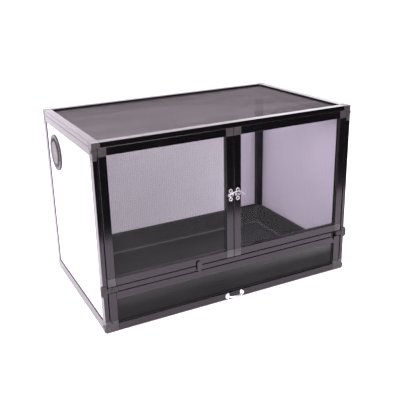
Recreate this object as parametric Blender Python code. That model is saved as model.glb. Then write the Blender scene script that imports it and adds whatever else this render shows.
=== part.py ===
"""PVC reptile enclosure: aluminium frame, mesh top, mesh door, glazed door and tray drawer.

All sizes are in metres, +Z is up and the front looks along -Y. The origin is under the
middle of the object, on the surface that it stands on.
"""

import math

import bmesh
import bpy
from mathutils import Vector

# Overall frame, as the real enclosure is sold: wide, deep, high
WIDTH = 0.600
DEPTH = 0.360
HEIGHT = 0.400

# Running and fitting clearances
FIT = 0.0003
LEAF_GAP = 0.0015
LEAF_SIDE_GAP = 0.0025
MEETING_GAP = 0.0018
EDGE = 0.0006
CUT_PAST = 0.002
SAME_PLACE = 0.00001

# Frame profiles
RAIL_WIDTH = 0.017
FRONT_POST_DEPTH = 0.018
REAR_POST_DEPTH = 0.020
REAR_FLANGE_WIDTH = 0.007
POST_STRIP = 0.0085
FRONT_BAR_HEIGHT = 0.010
TOP_RAIL_HEIGHT = 0.027
BOTTOM_RAIL_HEIGHT = 0.022
TOP_CORNER_HEIGHT = 0.034
BOTTOM_CORNER_HEIGHT = 0.026
SHADOW_LINE_HEIGHT = 0.0009
SHADOW_LINE_DEPTH = 0.0008

# Sheets held in grooves
PANEL_THICKNESS = 0.005
PANEL_RECESS = 0.0016
GROOVE_DEPTH = 0.006
BASE_UNDERSIDE = 0.006
SILL_DROP = 0.0005
SILL_DEPTH = 0.013

# Framed leaves: two doors and the drawer front
LEAF_THICKNESS = 0.012
LEAF_PROFILE = 0.0165
LEAF_BACK_GAP = 0.0005
INFILL_RECESS = 0.005
INFILL_THICKNESS = 0.003
INFILL_BITE = 0.005

# Drawer front and the cross rail above it
DRAWER_FLOOR_GAP = 0.0015
DRAWER_FRONT_HEIGHT = 0.0875
DRAWER_CORNER_HEIGHT = 0.0235
DRAWER_LUG_DROP = 0.008
DRAWER_LUG_SEAM = 0.0018
DRAWER_LUG_REACH = 0.0025
DRAWER_LUG_SPAN = (0.0045, 0.0135)
DRAWER_LUG_SLOPE = 0.0018
DRAWER_SOCKET = 0.0032
DRAWER_SOCKET_DEPTH = 0.003
DRAWER_SOCKET_INSET = 0.0136
DRAWER_SOCKET_DROP = 0.0027
DRAWER_NOTCH_WIDTH = 0.0072
DRAWER_NOTCH_HEIGHT = 0.009
DRAWER_NOTCH_DEPTH = 0.0045
MID_RAIL_HEIGHT = 0.011
MID_RAIL_DEPTH = 0.016

# Mesh top and the mesh of the left door
MESH_DROP = 0.0065
MESH_THICKNESS = 0.0009
MESH_BITE = 0.004
TOP_MESH_GAPS = (19, 11)
DOOR_MESH_GAPS = (9, 10)
MESH_STRAND = 0.0016

# Door pivots
PIVOT_INSET = 0.003
DOOR_SWING = math.radians(105)
PIN_RADIUS = 0.0015
PIN_CLEARANCE = 0.0003
PIN_DEPTH = 0.0055
COLLAR_RADIUS = 0.0028

# Plastic brackets that carry the cross rail and the lower door pins
BRACKET_WRAP = 0.0042
BRACKET_FACE = 0.0017
BRACKET_HEIGHT = 0.0225
BRACKET_RISE = 0.004
BRACKET_REACH_BACK = 0.0045
BRACKET_CORNER_RADIUS = 0.0038
BRACKET_ARM_OVERLAP = 0.007
BRACKET_ARM_INSETS = {-1: 0.030, 1: 0.0234}
RAIL_END_INSETS = {-1: 0.030, 1: 0.036}
TONGUE_SET_BACK = 0.008
TONGUE_EDGE = 0.001

# Screw heads on the brackets and the drawer's corners
SCREW_HEAD_RADIUS = 0.0027
SCREW_HEAD_HEIGHT = 0.0010
SCREW_CROWN_RADIUS = 0.0019
SCREW_RIM_HEIGHT = 0.00035
BRACKET_SCREW_INSET = 0.0058
ARM_SCREW_INSET = 0.0200
DRAWER_SCREW_INSET = 0.0068
DRAWER_SCREW_RISE = 0.009

# Lug on each top front corner
TOP_LUG_REACH = 0.0022
TOP_LUG_HEIGHT = 0.0075
TOP_LUG_DROP = 0.0125
TOP_LUG_DEPTH = 0.011
TOP_LUG_INSET = 0.001

# Round vent in the left side panel
VENT_FROM_REAR = 0.089
VENT_BELOW_TOP = 0.083
VENT_HOLE_RADIUS = 0.036
VENT_FLANGE_RADIUS = 0.041
VENT_FLANGE_THICKNESS = 0.0034
VENT_SLEEVE_WALL = 0.0025
VENT_SLEEVE_LENGTH = 0.008
VENT_CAP_RADIUS = 0.0255
VENT_CAP_THICKNESS = 0.0016
VENT_SLOTS = 16
VENT_SLOT_INNER = 0.0268
VENT_SLOT_LENGTH = 0.0052
VENT_SLOT_WIDTH = 0.0042
VENT_RIM_WIDTH = 0.004
VENT_RIM_HEIGHT = 0.0008

# Vacuum-formed tray
TRAY_RIM_DROP = 0.027
TRAY_WALL = 0.002
TRAY_LIP = 0.004
TRAY_SIDE_GAP = 0.002
TRAY_TAPER = 0.009
TRAY_REAR_GAP = 0.020
TRAY_CORNER_RADIUS = 0.022
TRAY_UPSTAND_DROP = 0.006
TRAY_UPSTAND_INSET = 0.071

# Bow handle on the drawer's bottom rail
HANDLE_REACH = 0.012
HANDLE_SPAN = 0.047
HANDLE_LEAF_WIDTH = 0.0112
HANDLE_LEAF_HEIGHT = 0.0165
HANDLE_LEAF_THICKNESS = 0.0015
HANDLE_LEAF_SWELL = 0.14
HANDLE_LEAF_LOBES = 3
HANDLE_RISE = 0.009
HANDLE_WIRE_RADIUS = 0.0018
HANDLE_BOW_INSET = 0.0035
HANDLE_BOW_FULLNESS = 0.7

# Hook latch on the meeting stiles
LATCH_HEIGHT = 0.246
LATCH_PLATE_WIDTH = 0.0145
LATCH_PLATE_HEIGHT = 0.029
LATCH_PLATE_THICKNESS = 0.0012
LATCH_MIDDLE_LOBE = 0.0072
LATCH_END_LOBE = 0.0052
LATCH_END_LOBE_WIDTH = 0.0115
LATCH_HOLE_SPACING = 0.0186
LATCH_STUD_RADIUS = 0.0014
LATCH_HEAD_RADIUS = 0.0026
LATCH_HEAD_CROWN = 0.0016
LATCH_HEAD_THICKNESS = 0.001
HOOK_PLAY = 0.0006
HOOK_THICKNESS = 0.0022
HOOK_HALF_WIDTH = 0.0013
HOOK_CROWN_RISE = 0.0068
HOOK_TAPER = 0.40
HOOK_ROUTE = (
    (0.0, 0.0),
    (0.17, 0.50),
    (0.46, 0.85),
    (1.0, 1.0),
    (1.32, 0.84),
    (1.58, 0.42),
    (1.78, -0.06),
    (1.96, -0.52),
)
HOOK_EYE_RADIUS = 0.0032
HOOK_EYE_CLEARANCE = 0.00035
PEG_RADIUS = 0.0018
PEG_REACH = 0.0055

# Turn button that keeps the left door shut
BUTTON_CENTRE_X = -0.0866
BUTTON_WIDTH = 0.0106
BUTTON_LENGTH = 0.0226
BUTTON_THICKNESS = 0.003
BUTTON_STANDOFF = 0.0012
BUTTON_BOSS_RADIUS = 0.004
BUTTON_STUD_RADIUS = 0.0014
BUTTON_STUD_LENGTH = 0.006

# Planes worked out from the sizes above
FRONT_Y = HANDLE_REACH / 2 - DEPTH / 2
REAR_Y = FRONT_Y + DEPTH
HALF_WIDTH = WIDTH / 2
INNER_X = HALF_WIDTH - RAIL_WIDTH
FRONT_BAR_BOTTOM = HEIGHT - FRONT_BAR_HEIGHT
TOP_RAIL_BOTTOM = HEIGHT - TOP_RAIL_HEIGHT
TOP_CORNER_BOTTOM = HEIGHT - TOP_CORNER_HEIGHT
LEAF_BACK_Y = FRONT_Y + LEAF_THICKNESS
REBATE_Y = LEAF_BACK_Y + LEAF_BACK_GAP
LEAF_OUTER_X = HALF_WIDTH - POST_STRIP - LEAF_SIDE_GAP
DRAWER_BOTTOM = DRAWER_FLOOR_GAP
DRAWER_TOP = DRAWER_BOTTOM + DRAWER_FRONT_HEIGHT
MID_RAIL_BOTTOM = DRAWER_TOP + LEAF_GAP
MID_RAIL_TOP = MID_RAIL_BOTTOM + MID_RAIL_HEIGHT
DOOR_BOTTOM = MID_RAIL_TOP + LEAF_GAP
DOOR_TOP = FRONT_BAR_BOTTOM - FIT - FIT
BASE_TOP = BASE_UNDERSIDE + PANEL_THICKNESS
SILL_TOP = BASE_TOP - SILL_DROP
VENT_CENTRE_Z = HEIGHT - VENT_BELOW_TOP
TRAY_UNDERSIDE = BASE_TOP + FIT
TRAY_RIM = DRAWER_TOP - TRAY_RIM_DROP
TRAY_UPSTAND_TOP = DRAWER_TOP - TRAY_UPSTAND_DROP
TRAY_HALF_WIDTH = INNER_X - TRAY_SIDE_GAP
HANDLE_Z = DRAWER_BOTTOM + HANDLE_RISE
PIVOT_X = LEAF_OUTER_X - PIVOT_INSET
PIVOT_Y = FRONT_Y + PIVOT_INSET
PIN_HOLE_RADIUS = PIN_RADIUS + PIN_CLEARANCE
LATCH_PIVOT_X = -(MEETING_GAP + LATCH_PLATE_WIDTH) / 2 - FIT
LATCH_FACE_Y = FRONT_Y - FIT - LATCH_PLATE_THICKNESS
HOOK_BACK_Y = LATCH_FACE_Y - HOOK_PLAY
PEG_Z = LATCH_HEIGHT + HOOK_CROWN_RISE - HOOK_HALF_WIDTH - FIT - PEG_RADIUS
BUTTON_PIVOT_Z = MID_RAIL_BOTTOM + BUTTON_WIDTH / 2 - FIT

# Facets of the round shapes
ROUND_SEGMENTS = 24
SMALL_SEGMENTS = 12
VENT_SEGMENTS = 48
WIRE_SEGMENTS = 8
LOBE_STEPS = 20
CORNER_STEPS = 5
PIVOT_STEPS = 6
ROUTE_STEPS = 4
SMOOTH_ANGLE = math.radians(35)

MATERIALS = {
    "black_aluminium": ((0.020, 0.019, 0.022), 0.28, 0.85, 1.0),
    "corner_plastic": ((0.060, 0.056, 0.060), 0.45, 0.0, 1.0),
    "white_pvc": ((0.86, 0.85, 0.88), 0.35, 0.0, 1.0),
    "clear_glazing": ((0.90, 0.92, 0.92), 0.05, 0.0, 0.25),
    "black_sheet": ((0.018, 0.018, 0.020), 0.35, 0.0, 1.0),
    "tray_plastic": ((0.030, 0.030, 0.033), 0.50, 0.0, 1.0),
    "mesh_wire": ((0.045, 0.040, 0.043), 0.55, 0.3, 1.0),
    "vent_plastic": ((0.55, 0.53, 0.55), 0.45, 0.0, 1.0),
    "silver_metal": ((0.78, 0.77, 0.78), 0.25, 1.0, 1.0),
    "button_plastic": ((0.015, 0.015, 0.017), 0.40, 0.0, 1.0),
}


def clear_scene():
    """Removes every object that the file starts with."""
    for existing in list(bpy.data.objects):
        bpy.data.objects.remove(existing, do_unlink=True)


def make_material(name):
    """Returns the named Principled material, made once."""
    if name in bpy.data.materials:
        return bpy.data.materials[name]
    colour, roughness, metallic, alpha = MATERIALS[name]
    material = bpy.data.materials.new(name)
    material.use_nodes = True
    shader = material.node_tree.nodes["Principled BSDF"]
    shader.inputs["Base Color"].default_value = (*colour, 1.0)
    shader.inputs["Roughness"].default_value = roughness
    shader.inputs["Metallic"].default_value = metallic
    shader.inputs["Alpha"].default_value = alpha
    return material


def add_object(name, mesh_builder, material_name, parent=None, smooth=False):
    """Turns a bmesh in world places into an object with its origin at its own middle."""
    points = [vertex.co for vertex in mesh_builder.verts]
    middle = Vector(
        [(min(p[i] for p in points) + max(p[i] for p in points)) / 2 for i in range(3)]
    )
    bmesh.ops.translate(mesh_builder, verts=mesh_builder.verts, vec=-middle)
    bmesh.ops.recalc_face_normals(mesh_builder, faces=mesh_builder.faces)
    mesh = bpy.data.meshes.new(name)
    mesh_builder.to_mesh(mesh)
    mesh_builder.free()
    if smooth:
        mesh.shade_smooth()
        mesh.set_sharp_from_angle(angle=SMOOTH_ANGLE)
    mesh.materials.append(make_material(material_name))
    piece = bpy.data.objects.new(name, mesh)
    bpy.context.collection.objects.link(piece)
    piece.location = middle
    if parent is not None:
        piece.parent = parent
        piece.location = middle - parent.location
    return piece


def make_empty(name, place):
    """Adds an empty on a joint's axis, for the pieces that move with the joint."""
    empty = bpy.data.objects.new(name, None)
    bpy.context.collection.objects.link(empty)
    empty.location = place
    return empty


def add_box(mesh_builder, low, high, edge=0.0):
    """Adds a box between two corners, with its edges chamfered where edge is given."""
    size = [b - a for a, b in zip(low, high)]
    middle = [(a + b) / 2 for a, b in zip(low, high)]
    made = bmesh.ops.create_cube(mesh_builder, size=1.0)["verts"]
    bmesh.ops.scale(mesh_builder, vec=size, verts=made)
    bmesh.ops.translate(mesh_builder, vec=middle, verts=made)
    if edge:
        edges = list({e for vertex in made for e in vertex.link_edges})
        bmesh.ops.bevel(
            mesh_builder, geom=edges, offset=edge, segments=1, affect="EDGES", profile=0.5
        )


def box_piece(name, low, high, material_name, parent=None, edge=EDGE):
    """Makes one box-shaped piece."""
    builder = bmesh.new()
    add_box(builder, low, high, edge)
    return add_object(name, builder, material_name, parent)


def mirrored_x(low, high, side):
    """Puts a box that is given for the right side on the side named by its sign."""
    if side > 0:
        return low, high
    return (-high[0], low[1], low[2]), (-low[0], high[1], high[2])


def add_prism(mesh_builder, outline, axis, start, end):
    """Extrudes a flat outline along X, Y or Z. The outline's pairs are the other two axes in order."""
    others = [i for i in range(3) if i != axis]

    def corner(pair, along):
        place = [0.0, 0.0, 0.0]
        place[others[0]], place[others[1]], place[axis] = pair[0], pair[1], along
        return mesh_builder.verts.new(place)

    near = [corner(pair, start) for pair in outline]
    far = [corner(pair, end) for pair in outline]
    mesh_builder.faces.new(near)
    mesh_builder.faces.new(list(reversed(far)))
    for i, vertex in enumerate(near):
        following = (i + 1) % len(near)
        mesh_builder.faces.new((vertex, far[i], far[following], near[following]))


def slab_piece(name, outline, front, back, material_name, parent=None):
    """Makes an upright slab from its front view, with the edges of its front face chamfered."""
    builder = bmesh.new()
    add_prism(builder, outline, 1, front, back)
    rim = [edge for edge in builder.edges if all(abs(v.co.y - front) < SAME_PLACE for v in edge.verts)]
    bmesh.ops.bevel(builder, geom=rim, offset=EDGE, segments=1, affect="EDGES", profile=0.5)
    return add_object(name, builder, material_name, parent)


def prism_piece(name, outlines, axis, start, end, material_name, parent=None):
    """Makes a piece from one or more flat outlines extruded together."""
    builder = bmesh.new()
    for outline in outlines:
        add_prism(builder, outline, axis, start, end)
    return add_object(name, builder, material_name, parent)


def add_turned(mesh_builder, profile, centre, axis, segments):
    """Turns a profile of (radius, distance along axis) pairs that starts and ends on the axis."""
    along = Vector([1.0 if i == axis else 0.0 for i in range(3)])
    first = Vector([1.0 if i == (axis + 1) % 3 else 0.0 for i in range(3)])
    second = along.cross(first)
    centre = Vector(centre)
    loops = []
    for radius, distance in profile:
        middle = centre + along * distance
        if radius == 0.0:
            loops.append([mesh_builder.verts.new(middle)])
            continue
        angles = [2 * math.pi * i / segments for i in range(segments)]
        loops.append(
            [
                mesh_builder.verts.new(middle + (first * math.cos(a) + second * math.sin(a)) * radius)
                for a in angles
            ]
        )
    for lower, upper in zip(loops, loops[1:]):
        for i in range(segments):
            j = (i + 1) % segments
            corners = [lower[i % len(lower)], lower[j % len(lower)]]
            corners += [upper[j % len(upper)], upper[i % len(upper)]]
            mesh_builder.faces.new(list(dict.fromkeys(corners)))


def turned_piece(name, profile, centre, axis, material_name, parent=None, segments=ROUND_SEGMENTS):
    """Makes one round piece from its profile."""
    builder = bmesh.new()
    add_turned(builder, profile, centre, axis, segments)
    return add_object(name, builder, material_name, parent, smooth=True)


def as_cutter(piece):
    """Marks an object as a cutter or a fused part, which isn't a piece of its own."""
    piece.hide_render = True
    piece.display_type = "WIRE"
    return piece


def cutter_box(name, low, high):
    """Makes a box-shaped cutter."""
    return as_cutter(box_piece(name, low, high, "black_sheet", edge=0.0))


def cutter_round(name, centre, axis, radius, start, end, segments=SMALL_SEGMENTS):
    """Makes a round cutter that runs along an axis between two distances from centre."""
    profile = [(0.0, start), (radius, start), (radius, end), (0.0, end)]
    return as_cutter(turned_piece(name, profile, centre, axis, "black_sheet", segments=segments))


def combine(piece, other, operation):
    """Adds a Boolean modifier to a piece."""
    modifier = piece.modifiers.new(other.name, "BOOLEAN")
    modifier.operation = operation
    modifier.solver = "EXACT"
    modifier.object = other


def cut(piece, *cutters):
    """Cuts a piece with each cutter."""
    for other in cutters:
        combine(piece, other, "DIFFERENCE")


def fuse(piece, *parts):
    """Joins hidden parts to a piece as one solid."""
    for other in parts:
        combine(piece, as_cutter(other), "UNION")


def grown(low, high, by):
    """Returns a box's corners moved outwards."""
    return [v - by for v in low], [v + by for v in high]


def side_name(side):
    """Names a side by its sign."""
    return "right" if side > 0 else "left"


def build_panels():
    """The white sheets and the cutters that make their grooves."""
    sheet_bottom = BOTTOM_RAIL_HEIGHT - GROOVE_DEPTH
    sheet_top = TOP_RAIL_BOTTOM + GROOVE_DEPTH
    sheet_x = INNER_X + GROOVE_DEPTH
    groove_cutters = {}
    boxes = {
        "back_panel": (
            (-sheet_x, REAR_Y - PANEL_RECESS - PANEL_THICKNESS, sheet_bottom),
            (sheet_x, REAR_Y - PANEL_RECESS, sheet_top),
        ),
        "base_panel": (
            (-sheet_x, REBATE_Y + SILL_DEPTH - GROOVE_DEPTH, BASE_UNDERSIDE),
            (sheet_x, REAR_Y - RAIL_WIDTH + GROOVE_DEPTH, BASE_TOP),
        ),
    }
    for side in (-1, 1):
        boxes[f"side_panel_{side_name(side)}"] = mirrored_x(
            (
                HALF_WIDTH - PANEL_RECESS - PANEL_THICKNESS,
                FRONT_Y + FRONT_POST_DEPTH - GROOVE_DEPTH,
                sheet_bottom,
            ),
            (HALF_WIDTH - PANEL_RECESS, REAR_Y - REAR_POST_DEPTH + GROOVE_DEPTH, sheet_top),
            side,
        )
    for name, (low, high) in boxes.items():
        sheet_low, sheet_high = grown(low, high, -FIT)
        sheet = box_piece(name, sheet_low, sheet_high, "white_pvc", edge=0.0)
        groove_cutters[name] = cutter_box(f"{name}_groove", low, high)
        if name == "side_panel_left":
            span = (-CUT_PAST, PANEL_THICKNESS + CUT_PAST)
            hole = cutter_round("vent_hole", vent_centre(), 0, VENT_HOLE_RADIUS, *span, VENT_SEGMENTS)
            cut(sheet, hole)
    return groove_cutters


def vent_centre():
    """The vent's middle on the left panel's outer face."""
    return (-HALF_WIDTH + PANEL_RECESS, REAR_Y - VENT_FROM_REAR, VENT_CENTRE_Z)


def front_post_outline(side):
    """The front post's section: a full block behind the leaves and a strip beside them."""
    strip = HALF_WIDTH - POST_STRIP
    right = [
        (INNER_X, REBATE_Y),
        (strip, REBATE_Y),
        (strip, FRONT_Y),
        (HALF_WIDTH - EDGE, FRONT_Y),
        (HALF_WIDTH, FRONT_Y + EDGE),
        (HALF_WIDTH, FRONT_Y + FRONT_POST_DEPTH),
        (INNER_X, FRONT_Y + FRONT_POST_DEPTH),
    ]
    return [(side * x, y) for x, y in right]


def rear_post_outline(side):
    """The rear post's section, with its outer corner chamfered."""
    right = [
        (INNER_X, REAR_Y - REAR_POST_DEPTH),
        (HALF_WIDTH, REAR_Y - REAR_POST_DEPTH),
        (HALF_WIDTH, REAR_Y - EDGE),
        (HALF_WIDTH - EDGE, REAR_Y),
        (INNER_X, REAR_Y),
    ]
    return [(side * x, y) for x, y in right]


def rear_flange(side):
    """The rear post's inner flange, in front of the back panel and between the rear rails."""
    back = REAR_Y - PANEL_RECESS - PANEL_THICKNESS - FIT
    low, high = mirrored_x(
        (INNER_X - REAR_FLANGE_WIDTH, REAR_Y - REAR_POST_DEPTH, BOTTOM_RAIL_HEIGHT + FIT),
        (INNER_X + EDGE, back, TOP_CORNER_BOTTOM - FIT),
        side,
    )
    return box_piece(f"rear_flange_{side_name(side)}", low, high, "black_aluminium", edge=0.0)


def lug_line(x, clearance):
    """Height of the slanted seam between the front post's foot and the drawer's corner."""
    top = DRAWER_BOTTOM + DRAWER_CORNER_HEIGHT
    outer = HALF_WIDTH - FIT
    share = (abs(x) - LEAF_OUTER_X) / (outer - LEAF_OUTER_X)
    return top - DRAWER_LUG_DROP * share + clearance


def build_posts(grooves, slot):
    """The four posts, the plastic corners above them and those under the front ones."""
    high = TOP_CORNER_BOTTOM - FIT
    for side in (-1, 1):
        name = side_name(side)
        side_groove = grooves[f"side_panel_{name}"]
        front = front_post_outline(side)
        rear = rear_post_outline(side)
        low = BOTTOM_CORNER_HEIGHT + FIT
        cut(prism_piece(f"post_front_{name}", [front], 2, low, high, "black_aluminium"), side_groove)
        post = prism_piece(f"post_rear_{name}", [rear], 2, 0.0, high, "black_aluminium")
        fuse(post, rear_flange(side))
        cut(post, side_groove, grooves["back_panel"], grooves["base_panel"])
        foot = prism_piece(
            f"bottom_corner_front_{name}", [front], 2, 0.0, BOTTOM_CORNER_HEIGHT, "corner_plastic"
        )
        cut(foot, side_groove, grooves["base_panel"], foot_cutter(side))
        top = prism_piece(
            f"top_corner_rear_{name}", [rear], 2, TOP_CORNER_BOTTOM, HEIGHT, "corner_plastic"
        )
        cut(top, side_groove, grooves["back_panel"], slot)
        build_top_corner_front(side, front, side_groove, slot)


def build_top_corner_front(side, outline, side_groove, slot):
    """A front top corner: a square block over the post's section, with the door's upper pin."""
    name = side_name(side)
    corner = prism_piece(
        f"top_corner_front_{name}", [outline], 2, TOP_CORNER_BOTTOM, HEIGHT, "corner_plastic"
    )
    low, high = mirrored_x(
        (INNER_X, FRONT_Y, FRONT_BAR_BOTTOM), (HALF_WIDTH, FRONT_Y + FRONT_POST_DEPTH, HEIGHT), side
    )
    fuse(corner, box_piece(f"corner_block_{name}", low, high, "corner_plastic"))
    low, high = DOOR_TOP - LEAF_PROFILE + FIT, FRONT_BAR_BOTTOM + EDGE
    fuse(corner, prism_piece(f"corner_filler_{name}", [filler_outline(side)], 2, low, high, "corner_plastic"))
    line_low, line_high = mirrored_x(
        (LEAF_OUTER_X, FRONT_Y - FIT, FRONT_BAR_BOTTOM - SHADOW_LINE_HEIGHT),
        (HALF_WIDTH + FIT, FRONT_Y + SHADOW_LINE_DEPTH, FRONT_BAR_BOTTOM),
        side,
    )
    cut(corner, side_groove, slot, cutter_box(f"corner_line_{name}", line_low, line_high))
    fuse(corner, top_lug(side))
    reach = PIN_DEPTH - LEAF_GAP
    pin = [(0.0, -reach), (PIN_RADIUS, -reach), (PIN_RADIUS, reach), (0.0, reach)]
    place = (side * PIVOT_X, PIVOT_Y, FRONT_BAR_BOTTOM)
    fuse(corner, turned_piece(f"upper_pin_{name}", pin, place, 2, "corner_plastic", segments=SMALL_SEGMENTS))


def filler_outline(side):
    """Plan of the filler beside a door's top corner, slanted to clear the door's face when it is open.

    The open face keeps the pivot's inset from the pivot, so its line is where x sin(swing) -
    y cos(swing) equals that inset, with x and y from the pivot. The slant runs a fit outside it.
    """
    across, forward = math.sin(DOOR_SWING), -math.cos(DOOR_SWING)
    reach = PIVOT_INSET + FIT
    edge = LEAF_OUTER_X + FIT
    start = PIVOT_Y + max((reach - (edge - PIVOT_X) * across) / forward, -PIVOT_INSET)
    front = PIVOT_X + (reach + PIVOT_INSET * forward) / across
    outer, back = HALF_WIDTH - POST_STRIP + EDGE, REBATE_Y + EDGE
    outline = [(front, FRONT_Y), (outer, FRONT_Y), (outer, back), (edge, back), (edge, start)]
    return [(side * x, y) for x, y in outline]


def top_lug(side):
    """The small lug on the outer side of a top front corner."""
    top = HEIGHT - TOP_LUG_DROP
    low, high = mirrored_x(
        (HALF_WIDTH - TOP_LUG_REACH, FRONT_Y + TOP_LUG_INSET, top - TOP_LUG_HEIGHT),
        (HALF_WIDTH + TOP_LUG_REACH, FRONT_Y + TOP_LUG_INSET + TOP_LUG_DEPTH, top),
        side,
    )
    return box_piece(f"top_lug_{side_name(side)}", low, high, "corner_plastic")


def foot_cutter(side):
    """Clears the drawer corner's lug out of the front post's foot, up to the slanted seam."""
    inner = HALF_WIDTH - POST_STRIP - LEAF_SIDE_GAP / 2
    outer = HALF_WIDTH + CUT_PAST
    outline = [
        (side * inner, -CUT_PAST),
        (side * outer, -CUT_PAST),
        (side * outer, lug_line(outer, DRAWER_LUG_SEAM)),
        (side * inner, lug_line(inner, DRAWER_LUG_SEAM)),
    ]
    builder = bmesh.new()
    add_prism(builder, outline, 1, FRONT_Y - CUT_PAST, REBATE_Y)
    return as_cutter(add_object(f"foot_cutter_{side_name(side)}", builder, "black_sheet"))


def build_rails(grooves, slot):
    """The rails of the box frame, each between its corners."""
    rail_y = (FRONT_Y + FRONT_POST_DEPTH + FIT, REAR_Y - REAR_POST_DEPTH - FIT)
    inner = INNER_X - FIT
    line_z = (FRONT_BAR_BOTTOM - SHADOW_LINE_HEIGHT, FRONT_BAR_BOTTOM)
    for side in (-1, 1):
        name = side_name(side)
        groove = grooves[f"side_panel_{name}"]
        low, high = mirrored_x(
            (INNER_X, rail_y[0], TOP_RAIL_BOTTOM), (HALF_WIDTH, rail_y[1], HEIGHT), side
        )
        top = box_piece(f"top_rail_{name}", low, high, "black_aluminium")
        start, end = mirrored_x(
            (HALF_WIDTH - SHADOW_LINE_DEPTH, rail_y[0] - FIT, line_z[0]),
            (HALF_WIDTH + FIT, rail_y[1] + FIT, line_z[1]),
            side,
        )
        cut(top, groove, slot, cutter_box(f"shadow_line_{name}", start, end))
        low, high = mirrored_x((INNER_X, rail_y[0], 0.0), (HALF_WIDTH, rail_y[1], BOTTOM_RAIL_HEIGHT), side)
        cut(box_piece(f"bottom_rail_{name}", low, high, "black_aluminium"), groove, grooves["base_panel"])
    rear_low = REAR_Y - RAIL_WIDTH
    low, high = (-inner, rear_low, TOP_RAIL_BOTTOM), (inner, REAR_Y, HEIGHT)
    top = box_piece("top_rail_rear", low, high, "black_aluminium")
    start = (-INNER_X, REAR_Y - SHADOW_LINE_DEPTH, line_z[0])
    line = cutter_box("shadow_line_rear", start, (INNER_X, REAR_Y + FIT, line_z[1]))
    cut(top, grooves["back_panel"], slot, line)
    bottom = box_piece(
        "bottom_rail_rear", (-inner, rear_low, 0.0), (inner, REAR_Y, BOTTOM_RAIL_HEIGHT), "black_aluminium"
    )
    cut(bottom, grooves["back_panel"], grooves["base_panel"])
    back = FRONT_Y + RAIL_WIDTH
    section = [
        (FRONT_Y, FRONT_BAR_BOTTOM),
        (REBATE_Y, FRONT_BAR_BOTTOM),
        (REBATE_Y, TOP_RAIL_BOTTOM),
        (back, TOP_RAIL_BOTTOM),
        (back, HEIGHT - EDGE),
        (back - EDGE, HEIGHT),
        (FRONT_Y + EDGE, HEIGHT),
        (FRONT_Y, HEIGHT - EDGE),
    ]
    cut(prism_piece("top_rail_front", [section], 0, -inner, inner, "black_aluminium"), slot)
    sill = box_piece(
        "front_sill", (-inner, REBATE_Y, 0.0), (inner, REBATE_Y + SILL_DEPTH, SILL_TOP), "black_aluminium"
    )
    cut(sill, grooves["base_panel"])


def build_mesh_top():
    """The mesh sheet, and the cutter of the slot that holds it in the top rails."""
    mesh_top = HEIGHT - MESH_DROP
    slot_x = INNER_X + MESH_BITE
    low = (-slot_x, FRONT_Y + RAIL_WIDTH - MESH_BITE, mesh_top - MESH_THICKNESS)
    high = (slot_x, REAR_Y - RAIL_WIDTH + MESH_BITE, mesh_top)
    build_net("mesh_top", low, high, 2, MESH_BITE, TOP_MESH_GAPS)
    return cutter_box("mesh_slot", *grown(low, high, FIT))


def build_net(name, low, high, normal, bite, gaps, parent=None):
    """A flat net between two corners: square gaps between fused strands, inside a hidden edge.

    normal is the thin axis, bite is how far the edge sits in its slot, and gaps counts the
    openings along the other two axes.
    """
    first, second = (i for i in range(3) if i != normal)

    def lines(axis, count):
        """Places of the gaps' sides along one axis, with the net's own two ends."""
        margin = bite + MESH_STRAND
        pitch = (high[axis] - low[axis] - 2 * margin + MESH_STRAND) / count
        places = [low[axis]]
        for i in range(count):
            places += [low[axis] + margin + i * pitch, low[axis] + margin + (i + 1) * pitch - MESH_STRAND]
        return places + [high[axis]]

    def corner(u, v):
        """One corner of the net's grid, on its low face."""
        place = [low[normal]] * 3
        place[first], place[second] = u, v
        return builder.verts.new(place)

    columns, rows = lines(first, gaps[0]), lines(second, gaps[1])
    builder = bmesh.new()
    grid = [[corner(u, v) for v in rows] for u in columns]
    for i in range(len(columns) - 1):
        for j in range(len(rows) - 1):
            if i % 2 == 1 and j % 2 == 1:
                continue
            builder.faces.new((grid[i][j], grid[i + 1][j], grid[i + 1][j + 1], grid[i][j + 1]))
    raised = bmesh.ops.extrude_face_region(builder, geom=list(builder.faces))["geom"]
    moved = [item for item in raised if isinstance(item, bmesh.types.BMVert)]
    rise = [high[i] - low[i] if i == normal else 0.0 for i in range(3)]
    bmesh.ops.translate(builder, verts=moved, vec=rise)
    return add_object(name, builder, "mesh_wire", parent)


def build_mid_rail():
    """The cross rail between the doors and the drawer, on its two brackets."""
    rail = box_piece(
        "mid_rail",
        (RAIL_END_INSETS[-1] - HALF_WIDTH + FIT, FRONT_Y, MID_RAIL_BOTTOM),
        (HALF_WIDTH - RAIL_END_INSETS[1] - FIT, FRONT_Y + MID_RAIL_DEPTH, MID_RAIL_TOP),
        "black_aluminium",
    )
    hole = (BUTTON_STUD_RADIUS + FIT, -CUT_PAST, BUTTON_STUD_LENGTH + CUT_PAST)
    cut(rail, cutter_round("button_hole", button_pivot(), 1, *hole))
    for side in (-1, 1):
        build_bracket(side)


def bracket_outline(side, x_low, x_high, z_low, z_high):
    """Front view of a bracket's lug, with its two outer corners rounded."""
    points = [(x_low, z_high), (x_low, z_low)]
    radius = BRACKET_CORNER_RADIUS
    for middle_z, start in ((z_low + radius, -math.pi / 2), (z_high - radius, 0.0)):
        for i in range(CORNER_STEPS + 1):
            angle = start + math.pi / 2 * i / CORNER_STEPS
            points.append((x_high - radius + radius * math.cos(angle), middle_z + radius * math.sin(angle)))
    return [(side * x, z) for x, z in points]


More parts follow.
